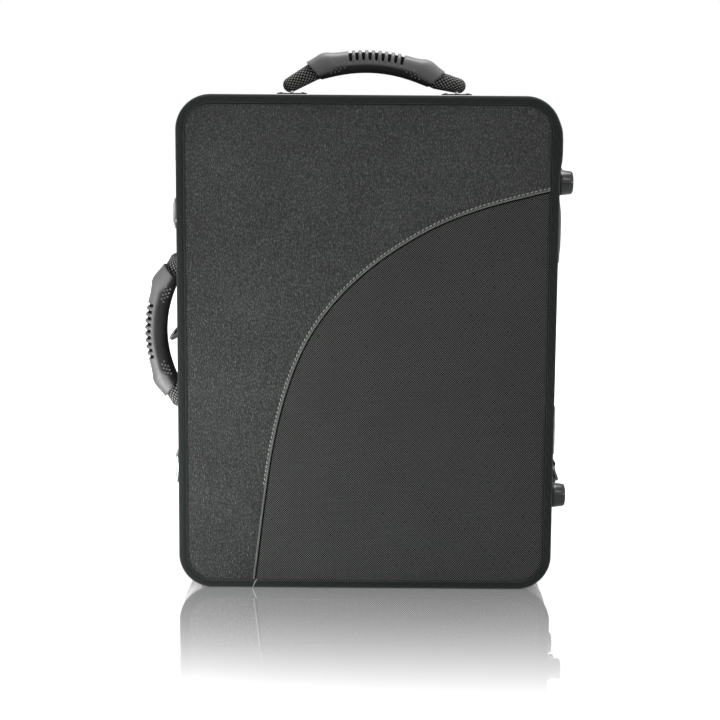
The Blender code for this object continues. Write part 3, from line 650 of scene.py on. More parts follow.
def leatherPaintedHighlightAndShade(x, z):
    # Painted highlight on the folded edge and painted shade in the sewn groove
    away = seamDistance(x, z)
    groove = 0.6 * math.exp(-((away - seam["stitchIn"]) / 0.0005) ** 2)
    return (1 - ramp(away, 0.0011, 0.0017)) - groove


# Painted shadow of the leather's folded edge on the fabric beside the seam
def fabricShade(x, z):
    return 1 - ramp(-seamDistance(x, z), 0.0008, 0.0018)


def panelBorders():
    right = halfWidth - panel["inset"]
    outline = caseOutline(panel["inset"])
    upper = [p for p in seamLine if p.x < right - 0.0003 and p.y > panel["inset"] + 0.0003]
    start = Vector((right, upper[0].y + (right - upper[0].x) * 0.24))
    end = Vector((upper[-1].x, panel["inset"]))
    line = [start] + upper + [end]
    above = [p for p in outline if seamDistance(p.x, p.y) > 0.0004]
    below = [p for p in outline if seamDistance(p.x, p.y) < -0.0004]
    # The outline runs against the clock from the right side, so it is cut where the seam meets it
    cutAbove = max(range(len(above)), key=lambda i: (above[i] - above[i - 1]).length)
    above = above[cutAbove:] + above[:cutAbove]
    cutBelow = max(range(len(below)), key=lambda i: (below[i] - below[i - 1]).length)
    below = below[cutBelow:] + below[:cutBelow]
    return above + line[::-1], below + line, line


leatherBorder, fabricBorder, seamRun = panelBorders()


def leatherInside(x, z):
    return min(outlineDistance(x, z, panel["inset"]), seamDistance(x, z))


def fabricInside(x, z):
    return min(outlineDistance(x, z, panel["inset"]), -seamDistance(x, z))


seat = frontFace + 0.0015
spacing = 0.0021
flatSkin("panel_leather", leatherBorder, leatherInside, leatherHeight, seat, spacing, "leather", "lid", "leatherette",
         ["front_leather_panel"], [p for far in seam["offsets"] for p in offsetLine(seamRun, far)], leatherPaintedHighlightAndShade)
flatSkin("panel_fabric", fabricBorder, fabricInside, fabricHeight, seat, spacing, "panelFabric", "lid",
         "panel_fabric", ["front_fabric_panel"], [p for far in seam["offsets"] for p in offsetLine(seamRun, -far)],
         fabricShade)


def backHeight(x, z):
    return backFace + panelLift(-x, z)


flatSkin("panel_back", caseOutline(panel["inset"]), lambda x, z: outlineDistance(x, z, panel["inset"]), backHeight,
         backFace - 0.0015, spacing * 1.3, "backLeather", "case_body", "leatherette", ["back_panel"])
print("panels made")


# Geometry Nodes: copies of one piece along a path, or on points
def pathTree(name, byPoints=False):
    tree = bpy.data.node_groups.new(name, "GeometryNodeTree")
    face = tree.interface
    face.new_socket("Geometry", in_out="INPUT", socket_type="NodeSocketGeometry")
    for label, kind in (("Piece", "NodeSocketObject"), ("Spacing", "NodeSocketFloat"), ("Facing", "NodeSocketVector"),
                        ("Turn", "NodeSocketFloat"), ("Size", "NodeSocketFloat"), ("Spread", "NodeSocketFloat"),
                        ("Seed", "NodeSocketInt"), ("Finish", "NodeSocketMaterial")):
        face.new_socket(label, in_out="INPUT", socket_type=kind)
    face.new_socket("Geometry", in_out="OUTPUT", socket_type="NodeSocketGeometry")

    def add(kind, settings=None, sockets=None):
        node = tree.nodes.new(kind)
        for key, value in (settings or {}).items():
            setattr(node, key, value)
        for key, value in (sockets or {}).items():
            if isinstance(value, bpy.types.NodeSocket):
                tree.links.new(value, node.inputs[key])
            else:
                node.inputs[key].default_value = value
        return node

    given = add("NodeGroupInput").outputs
    if byPoints:
        spots = add("GeometryNodeMeshToPoints", sockets={"Mesh": given["Geometry"]}).outputs["Points"]
        along = add("GeometryNodeInputNamedAttribute", {"data_type": "FLOAT_VECTOR"}, {"Name": "along"})
        tangent = along.outputs["Attribute"]
    else:
        line = add("GeometryNodeMeshToCurve", sockets={"Mesh": given["Geometry"]}).outputs["Curve"]
        even = add("GeometryNodeResampleCurve", {"mode": "LENGTH"}, {"Curve": line, "Length": given["Spacing"]})
        spots = even.outputs["Curve"]
        tangent = add("GeometryNodeInputTangent").outputs["Tangent"]
    forward = add("FunctionNodeAlignRotationToVector", {"axis": "X"}, {"Vector": tangent})
    upright = add("FunctionNodeAlignRotationToVector", {"axis": "Z", "pivot_axis": "X"},
                  {"Rotation": forward.outputs["Rotation"], "Vector": given["Facing"]})
    swing = add("FunctionNodeRandomValue", {"data_type": "FLOAT"}, {2: -1.0, 3: 1.0, "Seed": given["Seed"]})
    spread = add("ShaderNodeMath", {"operation": "MULTIPLY_ADD"},
                 {0: swing.outputs[1], 1: given["Spread"], 2: given["Turn"]})
    turned = add("FunctionNodeAxisAngleToRotation", sockets={"Axis": (0.0, 0.0, 1.0), "Angle": spread.outputs[0]})
    final = add("FunctionNodeRotateRotation", {"rotation_space": "LOCAL"},
                {"Rotation": upright.outputs["Rotation"], "Rotate By": turned.outputs["Rotation"]})
    piece = add("GeometryNodeObjectInfo", sockets={"Object": given["Piece"]})
    copies = add("GeometryNodeInstanceOnPoints",
                 sockets={"Points": spots, "Instance": piece.outputs["Geometry"],
                          "Rotation": final.outputs["Rotation"], "Scale": given["Size"]})
    solid = add("GeometryNodeRealizeInstances", sockets={"Geometry": copies.outputs["Instances"]})
    dressed = add("GeometryNodeSetMaterial", sockets={"Geometry": solid.outputs["Geometry"],
                                                      "Material": given["Finish"]})
    add("NodeGroupOutput", sockets={"Geometry": dressed.outputs["Geometry"]})
    return tree


trees = {"path": pathTree("copies_on_path"), "points": pathTree("copies_on_points", byPoints=True)}


def spread(name, tree, points, piece, finish, body, slot=None, spacing=0.002, facing=(0, -1, 0), turn=0.0, size=1.0,
           swing=0.0, seed=1, closed=False, alongs=None):
    # Runs a tree over a path or points and keeps the result as a plain mesh
    mesh = bpy.data.meshes.new(name)
    edges = [] if tree == "points" else [(i, i + 1) for i in range(len(points) - 1)]
    if closed:
        edges.append((len(points) - 1, 0))
    mesh.from_pydata([tuple(p) for p in points], edges, [])
    if tree == "points":
        layer = mesh.attributes.new("along", "FLOAT_VECTOR", "POINT")
        for item, value in zip(layer.data, alongs or [(1, 0, 0)] * len(points)):
            item.vector = value
    holder = bpy.data.objects.new(name + "_path", mesh)
    bpy.context.scene.collection.objects.link(holder)
    modifier = holder.modifiers.new("copies", "NODES")
    modifier.node_group = trees[tree]
    ids = {item.name: item.identifier for item in trees[tree].interface.items_tree if item.in_out == "INPUT"}
    values = {"Piece": piece, "Spacing": spacing, "Facing": facing, "Turn": turn, "Size": size, "Spread": swing,
              "Seed": seed, "Finish": finishes[finish]}
    for label, value in values.items():
        modifier[ids[label]] = value
    bpy.context.view_layer.update()
    ready = holder.evaluated_get(bpy.context.evaluated_depsgraph_get())
    result = bpy.data.meshes.new_from_object(ready)
    result.name = name
    bpy.data.objects.remove(holder)
    return keepPiece(name, result, finish, body, slot)


def pattern(name, shape):
    # One small form that the trees copy; it isn't itself part of the case
    bmesh.ops.recalc_face_normals(shape, faces=shape.faces)
    mesh = bpy.data.meshes.new(name)
    shape.to_mesh(mesh)
    shape.free()
    mesh.shade_smooth()
    made = bpy.data.objects.new(name, mesh)
    return made


def stitchForm(length, thick, sides=6, steps=6):
    # A short thread that bows up in the middle and dips at both ends
    rings = []
    for index in range(steps + 1):
        t = index / steps * 2 - 1
        rise = thick * (0.55 * math.cos(t * math.pi / 2) - 0.25)
        girth = thick / 2 * (0.55 + 0.45 * math.cos(t * math.pi / 2) ** 0.5 if abs(t) < 1 else 0.35)
        rings.append([Vector((t * length / 2, math.cos(a) * girth, rise + math.sin(a) * girth))
                      for a in (math.tau * side / sides for side in range(sides))])
    return skinRings(rings, closed=False, caps=True, mapped=False)


def lathe(profile, sides=20):
    # A turned form about Z from radius and height pairs, closed at both poles
    shape = bmesh.new()
    rings = []
    for radius, height in profile:
        if radius <= 0:
            rings.append([shape.verts.new((0, 0, height))])
        else:
            rings.append([shape.verts.new((radius * math.cos(math.tau * k / sides),
                                           radius * math.sin(math.tau * k / sides), height)) for k in range(sides)])
    for lower, upper in zip(rings, rings[1:]):
        for k in range(sides):
            after = (k + 1) % sides
            corners = [lower[k % len(lower)], lower[after % len(lower)], upper[after % len(upper)],
                       upper[k % len(upper)]]
            unique = []
            for corner in corners:
                if corner not in unique:
                    unique.append(corner)
            if len(unique) > 2:
                shape.faces.new(unique)
    return shape


stitching = {"seamPitch": 0.0035, "seamLength": 0.0027, "seamThick": 0.0008, "tapePitch": 0.0024,
             "tapeLength": 0.0017, "tapeThick": 0.00042}
seamStitch = pattern("seam_stitch_form", stitchForm(stitching["seamLength"], stitching["seamThick"]))
tapeStitch = pattern("tape_stitch_form", stitchForm(stitching["tapeLength"], stitching["tapeThick"]))
seamPath = [Vector((p.x, leatherHeight(p.x, p.y) - 0.00012, p.y)) for p in offsetLine(seamRun[1:-1], seam["stitchIn"])
            if outlineDistance(p.x, p.y, tapeCut["width"]) > 0]
spread("stitches_seam", "path", [p for p in seamPath if p.z > seam["stitchEnd"]], seamStitch, "seamThread", "lid",
       "leatherette", spacing=stitching["seamPitch"], turn=0.25, swing=0.10, seed=4)
# Low on the seam the stitches are dark: painted shade for the shaded stitch holes
spread("stitches_seam_low", "path", [p for p in seamPath if p.z < seam["stitchEnd"] - 0.002], seamStitch, "darkThread",
       "lid", "leatherette", spacing=stitching["seamPitch"], turn=0.1, swing=0.10, size=0.8, seed=5)
tapeLine = caseOutline(tapeCut["width"] - 0.0016)
spread("stitches_binding_front", "path", [Vector((x, frontFace + 0.00008, z)) for x, z in tapeLine], tapeStitch,
       "tapeThread", "lid", "binding_tape", spacing=stitching["tapePitch"], swing=0.12, seed=8, closed=True)
spread("stitches_binding_back", "path", [Vector((x, backFace - 0.00008, z)) for x, z in tapeLine], tapeStitch,
       "tapeThread", "case_body", "binding_tape", spacing=stitching["tapePitch"], facing=(0, 1, 0), swing=0.12,
       seed=9, closed=True)
print("stitches made")


# Handles. Places are along the handle, out from the wall and across it
grip = {"plane": 0.004, "topCentre": 0.0050, "sideCentre": 0.2045, "pivot": 0.0072, "strap": 0.0075,
        "core": 0.0050, "mouth": 0.86, "coreAt": 0.70, "halfHeight": 0.0091, "halfWidth": 0.0110,
        "square": 0.8, "top": 0.0006, "knee": 0.0022, "kneeAt": 0.76, "kneeSpread": 0.13, "sides": 64, "step": 0.00055}
ribs = {"count": 8, "zone": 0.0430, "share": 0.57, "rise": 0.0004, "slot": 0.0020, "foot": -0.06, "crest": 0.12}
pad = {"long": 0.0135, "deep": 0.0004, "bead": 0.00028, "beadAt": -0.17, "beadWide": 0.075}
arcs = {
    "top": {"chord": 0.0500, "rise": 0.0109, "apex": 0.0266, "spread": 0.0674, "slant": math.radians(20.7),
            "lean": math.radians(3.6), "end": 0.0061, "past": 0.0013, "lift": 0.0006, "roll": 0.0},
    "side": {"chord": 0.0484, "rise": 0.0131, "apex": 0.0236, "spread": 0.0598, "slant": math.radians(21.5),
             "lean": 0.0, "end": 0.0044, "past": 0.0, "lift": 0.0, "roll": math.radians(17)},
}
for arc in arcs.values():
    arc["radius"] = (arc["chord"] ** 2 + arc["rise"] ** 2) / (2 * arc["rise"])
    arc["angle"] = math.asin(arc["chord"] / arc["radius"])
ribPitch = ribs["zone"] / (ribs["count"] + 1 - ribs["share"])


def topPlace(along, out, across):
    return Vector((grip["topCentre"] + along, grip["plane"] + across, case["height"] + out))


def sidePlace(along, out, across):
    return Vector((-halfWidth - out, grip["plane"] + across, grip["sideCentre"] + along))


def squared(value):
    return math.copysign(abs(value) ** grip["square"], value)


def gripFrame(arc, share):
    # Middle and upward direction of the grip, from -1 at one end to 1 at the other
    turn = arc["angle"] * share
    tilt = turn + arc["slant"] * share ** 3
    leaning = Matrix.Rotation(-arc["lean"], 2)
    out = arc["apex"] - arc["radius"] * (1 - math.cos(turn))
    centre = leaning @ Vector((arc["radius"] * math.sin(turn), out - grip["pivot"]))
    return centre + Vector((0, grip["pivot"])), leaning @ Vector((math.sin(tilt), math.cos(tilt)))


def shareAt(arc, along):
    return math.asin(max(min(along / arc["radius"], 1), -1)) / arc["angle"]


def gripRing(place, arc, share):
    centre, up = gripFrame(arc, share)
    along = abs(arc["radius"] * math.sin(arc["angle"] * share))
    zone = ribs["zone"] / 2
    knee = grip["knee"] * math.exp(-((abs(share) - grip["kneeAt"]) / grip["kneeSpread"]) ** 2)
    inZone = 1 - ramp(along, zone - 0.0003, zone + 0.0001)
    ring, shades, slots = [], [], []
    for side in range(grip["sides"]):
        turn = math.tau * side / grip["sides"]
        rise, across = squared(math.sin(turn)), squared(math.cos(turn))
        top = grip["top"] * ramp(rise, 0.0, 0.6)
        rise = squared(math.sin(turn + arc["roll"]))
        inSlot = inZone * ramp(rise, ribs["foot"], ribs["crest"])
        cut = ribs["slot"] * inSlot
        reach = max(along - zone, 0) / pad["long"]
        hollow = pad["deep"] * (1 - inZone) * (1 - ramp(reach ** 3 + ((1 - rise) / 1.14) ** 8, 0.75, 1.0))
        bead = (pad["bead"] * math.exp(-((rise - pad["beadAt"]) / pad["beadWide"]) ** 2)
                * (1 - ramp(along, zone + pad["long"] * 0.5, zone + pad["long"])))
        lift = bead - cut - hollow
        point = centre + up * (knee / 2 + top + squared(math.sin(turn)) * (grip["halfHeight"] + knee / 2 + lift))
        ring.append(place(point.x, point.y, across * (grip["halfWidth"] + lift * 0.6)))
        # Darker towards the underside; the slot floors get painted shade
        low = 0.22 + 0.3 * ramp(along, 0.030, 0.040)
        shades.append(max(ramp(-rise, low - 0.12, low + 0.2), inSlot))
        slots.append(inSlot > 0.5)
    return ring, shades, slots


def gripBody(name, place, arc, body, node):
    steps = int(2 * arc["chord"] / grip["step"])
    places = [-arc["chord"] + 2 * arc["chord"] * index / steps for index in range(1, steps)]
    places += [side * (ribs["zone"] / 2 + shift) for side in (-1, 1) for shift in (-0.0003, -0.0001, 0.0001)]
    shares = [-1.0, -0.997, -0.990] + [s for s in sorted(shareAt(arc, a) for a in places) if abs(s) < 0.985]
    shares += [0.990, 0.997, 1.0]
    rings, shades, slots = [], [], []
    for share in shares:
        ring, dark, sunk = gripRing(place, arc, share)
        rings.append(ring)
        shades += dark
        slots += sunk
    for index, shrink in ((0, 0.925), (1, 0.97), (2, 0.992), (-1, 0.925), (-2, 0.97), (-3, 0.992)):
        middle = sum(rings[index], Vector()) / grip["sides"]
        rings[index] = [middle + (point - middle) * shrink for point in rings[index]]
    for share in [1, grip["mouth"], grip["coreAt"], 0.4, 0, -0.4, -grip["coreAt"], -grip["mouth"], -1]:
        centre, up = gripFrame(arc, share)
        bore = (grip["strap"] if abs(share) >= grip["mouth"] else grip["core"]) + 2 * gap
        tall = bore / math.cos(arc["slant"] * share ** 3)
        ring = []
        for side in range(grip["sides"]):
            turn = math.tau * side / grip["sides"]
            point = centre + up * (math.sin(turn) * tall)
            ring.append(place(point.x, point.y, math.cos(turn) * bore))
        rings.append(ring)
        # Painted shade inside the bore
        shades += [1.0] * grip["sides"]
        slots += [False] * grip["sides"]
    shape = skinRings(rings)
    shape.verts.index_update()
    for face in shape.faces:
        # Faces wholly in a slot take the slot finish, painted shade
        face.material_index = 1 if all(slots[vert.index] for vert in face.verts) else 0
    shade = shape.verts.layers.float.new("shade")
    for vert, value in zip(shape.verts, shades):
        vert[shade] = value
    return keepPiece(name, shape, "rubber", body, "grip_rubber", [node], smoothAngle=45, more=("gripSlot",))


def ribForm(roll):
    # One rib, a rounded bar bent over the top with spread feet. X along the handle, Y out, Z across
    rings = []
    steps = 22
    foot = math.asin(-abs(ribs["foot"] - 0.10) ** (1 / grip["square"]))
    for step in range(steps + 1):
        share = step / steps * 2 - 1
        turn = math.pi / 2 + roll + share * (math.pi / 2 - foot)
        rise, across = squared(math.sin(turn)), squared(math.cos(turn))
        spreadOut = ramp(abs(share), 0.76, 0.97)
        half = ribPitch / 2 * (ribs["share"] + (1.02 - ribs["share"]) * spreadOut ** 2)
        proud = ribs["rise"] * (1 - ramp(abs(share), 0.55, 0.92)) - 0.0006 * ramp(abs(share), 0.93, 1.0)
        ring = []
        for x, lift in ((-1, -ribs["slot"] - 0.0004), (-1, proud - 0.0011), (-0.86, proud - 0.0005),
                        (-0.55, proud - 0.0001), (0, proud), (0.55, proud - 0.0001), (0.86, proud - 0.0005),
                        (1, proud - 0.0011), (1, -ribs["slot"] - 0.0004)):
            ring.append(Vector((x * half, rise * (grip["halfHeight"] + lift), across * (grip["halfWidth"] + lift * 0.6))))
        rings.append(ring)
    return skinRings(rings, closed=False, caps=True, mapped=False)


ribPatterns = {prefix: pattern("grip_rib_form_" + prefix, ribForm(arc["roll"])) for prefix, arc in arcs.items()}


def gripRibs(name, place, arc, body, form):
    points = []
    for index in range(ribs["count"]):
        centre, _ = gripFrame(arc, shareAt(arc, (index - (ribs["count"] - 1) / 2) * ribPitch))
        points.append(place(centre.x, centre.y, 0))
    ahead = [(points[min(index + 1, ribs["count"] - 1)] - points[max(index - 1, 0)]).normalized()
             for index in range(ribs["count"])]
    return spread(name, "points", points, form, "rubber", body, "grip_rubber", facing=(0, -1, 0), alongs=ahead)


def braidedStrap(name, place, arc, body, node):
    last = Vector((arc["spread"] + arc["past"], grip["pivot"] + arc["lift"]))
    key = [(Vector((-last.x, last.y)), arc["end"])]
    for share in (-1, -0.93, -grip["mouth"], -grip["coreAt"], -0.45, -0.2, 0, 0.2, 0.45, grip["coreAt"], grip["mouth"],
                  0.93, 1):
        key.append((gripFrame(arc, share)[0], grip["strap"] if abs(share) >= grip["mouth"] else grip["core"]))
    key.append((last, arc["end"]))
    path = []
    for (a, ra), (b, rb) in zip(key, key[1:]):
        path += [(a.lerp(b, k / 5), ra + (rb - ra) * k / 5) for k in range(5)]
    path.append(key[-1])
    for where in (0, -1):
        end, radius = path[where]
        inner = path[1 if where == 0 else -2][0]
        away = (end - inner).normalized()
        caps = []
        for step in range(1, 7):
            turn = math.pi / 2 * step / 6.15
            caps.append((end + away * radius * math.sin(turn), radius * math.cos(turn)))
        path = caps[::-1] + path if where == 0 else path + caps
    sides = 40
    rings = []
    for index, (point, radius) in enumerate(path):
        before = path[max(index - 1, 0)][0]
        after = path[min(index + 1, len(path) - 1)][0]
        along = (after - before).normalized()
        up = Vector((-along.y, along.x))
        rings.append([place(point.x + up.x * math.sin(a) * radius, point.y + up.y * math.sin(a) * radius,
                            math.cos(a) * radius) for a in (math.tau * k / sides for k in range(sides))])
    shape = skinRings(rings, closed=False, caps=True, turned=math.tau * grip["strap"])
    return keepPiece(name, shape, "braid", body, "webbing", [node])


dotForm = pattern("grip_dot_form", lathe([(0.00085, -0.0003), (0.00080, 0.00010), (0.00062, 0.00032),
                                          (0.00032, 0.00044), (0.0, 0.00047)], 12))


def gripDots(name, place, arc, body):
    # Small raised dots low on both flanks, near the ends
    rows = ((-0.20, (0.0280, 0.0315, 0.0350, 0.0385)), (-0.42, (0.0262, 0.0297, 0.0332, 0.0367)),
            (-0.63, (0.0315, 0.0350, 0.0385)))
    for flank, word in ((-1, "_front"), (1, "_back")):
        points = []
        for rise, places in rows:
            steep = abs(rise) ** (1 / grip["square"])
            across = flank * grip["halfWidth"] * (1 - steep ** 2) ** (grip["square"] / 2)
            for along in [side * value for side in (-1, 1) for value in places]:
                centre, up = gripFrame(arc, shareAt(arc, along))
                spot = centre + up * (rise * grip["halfHeight"])
                points.append(place(spot.x, spot.y, across))
        spread(name + word, "points", points, dotForm, "rubber", body, "grip_rubber",
               facing=place(0, -0.4, flank) - place(0, 0, 0), alongs=[place(1, 0, 0) - place(0, 0, 0)] * len(points))


for prefix, place in (("top", topPlace), ("side", sidePlace)):
    arc = arcs[prefix]
    gripBody("grip_" + prefix, place, arc, prefix + "_handle", prefix + "_grip")
    gripRibs("grip_ribs_" + prefix, place, arc, prefix + "_handle", ribPatterns[prefix])
    gripDots("grip_dots_" + prefix, place, arc, prefix + "_handle")
    braidedStrap("strap_" + prefix, place, arc, prefix + "_handle", prefix + "_strap")
print("handles made")


# Hardware whose CAD form is right gets rounded edges on a copy
def roundedCopy(node, finish, width=0.0003, segments=2, angle=32, painted=None):
    shape = bmesh.new()
    shape.from_mesh(frame["nodes"][node].data)
    bmesh.ops.remove_doubles(shape, verts=shape.verts, dist=2e-6)
    bmesh.ops.dissolve_limit(shape, angle_limit=math.radians(1), verts=shape.verts, edges=shape.edges)
    bmesh.ops.recalc_face_normals(shape, faces=shape.faces)
    sharp = [edge for edge in shape.edges if len(edge.link_faces) == 2 and edge.calc_face_angle(0) > math.radians(angle)]
    bmesh.ops.bevel(shape, geom=sharp, offset=width, offset_type="OFFSET", segments=segments, profile=0.5,
                    affect="EDGES", clamp_overlap=True)
    if painted:
        for face in shape.faces:
            face.material_index = 1 if all(painted(vert.co) for vert in face.verts) else 0
    body = frame["nodes"][node]["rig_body"]
    return keepPiece("fine_" + node, shape, finish, body, "hardware_metal", [node], smoothAngle=50,
                     more=("blackMetal",) if painted else ())


def onTopPlate(spot):
    return spot.z < case["height"] + 0.0015


def onSidePlate(spot):
    return spot.x > -halfWidth - 0.0015


for node in frame["nodes"]:
    if node.startswith(("hinge_", "latch_plate", "latch_lever", "latch_strike")):
        roundedCopy(node, "chrome")
    elif "_anchor_" in node:
        roundedCopy(node, "chrome", painted=onTopPlate if node.startswith("top") else onSidePlate)
for node in [name for name in frame["nodes"] if "handle_pin" in name]:
    roundedCopy(node, "steel", 0.0002)
for node in ("body_rim", "lid_rim"):
    frame["nodes"][node].data.materials.clear()
    frame["nodes"][node].data.materials.append(finishes["rim"])


rivet = {"hinges": (0.125, 0.285), "latches": (0.0922, 0.3040), "leaf": 0.0012}
rivetForm = pattern("rivet_form", lathe([(0.0014, -0.0002), (0.0014, 0.0001), (0.0011, 0.00045), (0.0005, 0.00062),
                                         (0.0, 0.00066)], 16))


def rivets(name, spots, facing, along, body, size=1.0, finish="chrome"):
    spread(name, "points", [Vector(spot) for spot in spots], rivetForm, finish, body, "hardware_metal", facing=facing,
           size=size, alongs=[along] * len(spots))


leafTop = halfWidth + gap + rivet["leaf"]
for toward, body, word in ((1, "case_body", "body"), (-1, "lid", "lid")):
    rivets("rivets_hinge_" + word, [(leafTop, case["parting"] + toward * away, height + rise)
                                    for height in rivet["hinges"] for rise in (-0.014, 0.0, 0.014)
                                    for away in ((0.0155,) if rise == 0 else (0.009, 0.0165))],
           (1, 0, 0), (0, 0, 1), body)
rivets("rivets_latch_plate", [(-leafTop, case["parting"] + away, height + rise) for height in rivet["latches"]
                              for rise in (-0.0112, 0.0112) for away in (0.0030, 0.0250)],
       (-1, 0, 0), (0, 0, 1), "case_body", 0.75)
rivets("rivets_latch_strike", [(-leafTop, case["parting"] - 0.0125, height + rise) for height in rivet["latches"]
                               for rise in (-0.0050, 0.0050)], (-1, 0, 0), (0, 0, 1), "lid", 0.75)
rivets("rivets_top_anchor", [topPlace(end * arcs["top"]["spread"] + along, gap + 0.0010, across) for end in (-1, 1)
                             for along in (-0.009, 0.009) for across in (-0.0073, 0.0073)],
       (0, 0, 1), (1, 0, 0), "case_body", 0.9, "blackMetal")
rivets("rivets_side_anchor", [sidePlace(end * arcs["side"]["spread"] + along, gap + 0.0010, across) for end in (-1, 1)
                              for along in (-0.009, 0.009) for across in (-0.0073, 0.0073)],
       (-1, 0, 0), (0, 0, 1), "case_body", 0.9, "blackMetal")


def wireTube(path, radius, sides=18, closed=False):
    rings = []
    side = None
    for index, point in enumerate(path):
        before = path[index - 1] if index or closed else point
        after = path[(index + 1) % len(path)] if index < len(path) - 1 or closed else point
        along = (after - before).normalized()
        if side is None:
            seed = Vector((0, 0, 1)) if abs(along.z) < 0.9 else Vector((1, 0, 0))
            side = along.cross(seed).normalized()
        side = (side - along * side.dot(along)).normalized()
        up = along.cross(side)
        rings.append([point + (side * math.cos(a) + up * math.sin(a)) * radius
                      for a in (math.tau * k / sides for k in range(sides))])
    return skinRings(rings, closed=closed, caps=not closed, mapped=False)


# A loose end of thread across the lower tape, where the seam goes under it
keepPiece("thread_tape_end", wireTube([Vector((-0.0886, frontFace - 0.00012, 0.0079)),
                                       Vector((-0.0900, frontFace - 0.00018, 0.0050)),
                                       Vector((-0.0912, frontFace + 0.00020, 0.0024)),
                                       Vector((-0.0918, frontFace + 0.00110, 0.0009))], 0.0003, 8),
          "seamThread", "lid", "binding_tape")


# Bails: one wire bent into a loop
latch = {"heights": (0.0922, 0.3040), "wire": 0.0010, "pivotBack": 0.0140, "pivotOut": 0.0042, "reach": 0.0080,
         "half": 0.0116, "inner": 0.0054}


def bailWire(name, height, body, node):
    x = -halfWidth - latch["pivotOut"]
    y = case["parting"] + latch["pivotBack"]
    bar = case["parting"] - latch["reach"]
    turn = latch["wire"] * 2
    path = [Vector((x, y, height + latch["inner"])), Vector((x, y, height + latch["half"] - turn))]
    for step in range(1, 7):
        a = step / 7 * math.pi / 2
        path.append(Vector((x, y - turn + turn * math.cos(a), height + latch["half"] - turn + turn * math.sin(a))))
    path.append(Vector((x, y - turn, height + latch["half"])))
    path.append(Vector((x, bar + turn, height + latch["half"])))
    for step in range(1, 7):
        a = step / 7 * math.pi / 2
        path.append(Vector((x, bar + turn - turn * math.sin(a), height + latch["half"] - turn + turn * math.cos(a))))
    path.append(Vector((x, bar, height + latch["half"] - turn)))
    path += [Vector((p.x, p.y, 2 * height - p.z)) for p in path[::-1]]
    return keepPiece(name, wireTube(path, latch["wire"], 14), "chrome", body, "hardware_metal", [node])


for word, height in zip(("lower", "upper"), latch["heights"]):
    bailWire("bail_wire_" + word, height, word + "_bail", "latch_bail_" + word)


# Feet: turned plastic with a rounded tip and a sunk middle
foot = {"heights": (0.0750, 0.3315), "lid": -0.036, "body": 0.034, "base": 0.0104, "tip": 0.0093, "tall": 0.0120}


def footForm(name, depth, height, body, node):
    base, tip, tall = foot["base"], foot["tip"], foot["tall"]
    profile = [(0, 0), (base - 0.0003, 0), (base, 0.0003), (base - 0.0003, 0.0040), (tip + 0.0001, tall - 0.0022),
               (tip - 0.0002, tall - 0.0011), (tip - 0.0008, tall - 0.0004), (tip - 0.0016, tall - 0.0001),
               (tip - 0.0026, tall), (0.0048, tall), (0.0044, tall - 0.0003), (0.0042, tall - 0.0016),
               (0.0036, tall - 0.0020), (0, tall - 0.0020)]
    shape = lathe(profile, 40)
    bmesh.ops.recalc_face_normals(shape, faces=shape.faces)
    turnOut = Matrix.Translation((halfWidth + gap, depth, height)) @ Matrix.Rotation(math.pi / 2, 4, "Y")
    bmesh.ops.transform(shape, matrix=turnOut, verts=shape.verts)
    return keepPiece(name, shape, "foot", body, "foot_plastic", [node], smoothAngle=50)


for word, height in zip(("lower", "upper"), foot["heights"]):
    footForm("foot_front_" + word, foot["lid"], height, "lid", "foot_lid_" + word)
    footForm("foot_rear_" + word, foot["body"], height, "case_body", "foot_body_" + word)


# Rings for a shoulder strap and the folded tabs that hold them
ring = {"wire": 0.0017, "half": 0.0100, "long": 0.0150, "out": 0.0048, "left": (0.043, 0.2030),
        "right": (0.008, 0.0925), "leftDrop": math.radians(45), "rightDrop": math.radians(68), "twist": math.radians(9), "turnIn": 0.004,
        "tabWidth": 0.0140, "tabHalf": 0.0120, "tabThick": 0.0020}


def strapRing(name, side, spot, drop, twist, body, node):
    depth, height = spot
    bow = ring["half"]
    straight = ring["long"] - bow
    flat = [(-bow + 0.001, 0.0)] + [(-bow + 0.001 + (2 * bow - 0.002) * k / 8, 0.0) for k in range(1, 9)]
    flat += [(bow - 0.0003, 0.0003), (bow, 0.001)]
    flat += [(bow * math.cos(a), straight + bow * math.sin(a)) for a in (math.pi * k / 28 for k in range(29))]
    flat += [(-bow, 0.001), (-bow + 0.0003, 0.0003)]
    pivot = Vector((side * (halfWidth + ring["out"]), depth, height))
    outward = Vector((side * math.cos(drop), 0, -math.sin(drop)))
    lift = Vector((0, 1, 0)).cross(outward) * math.sin(twist)
    path = [pivot + Vector((0, across, 0)) + outward * reach + lift * across * min(reach / ring["turnIn"], 1)
            for across, reach in flat]
    return keepPiece(name, wireTube(path, ring["wire"], 16, closed=True), "ringMetal", body, "hardware_metal", [node])


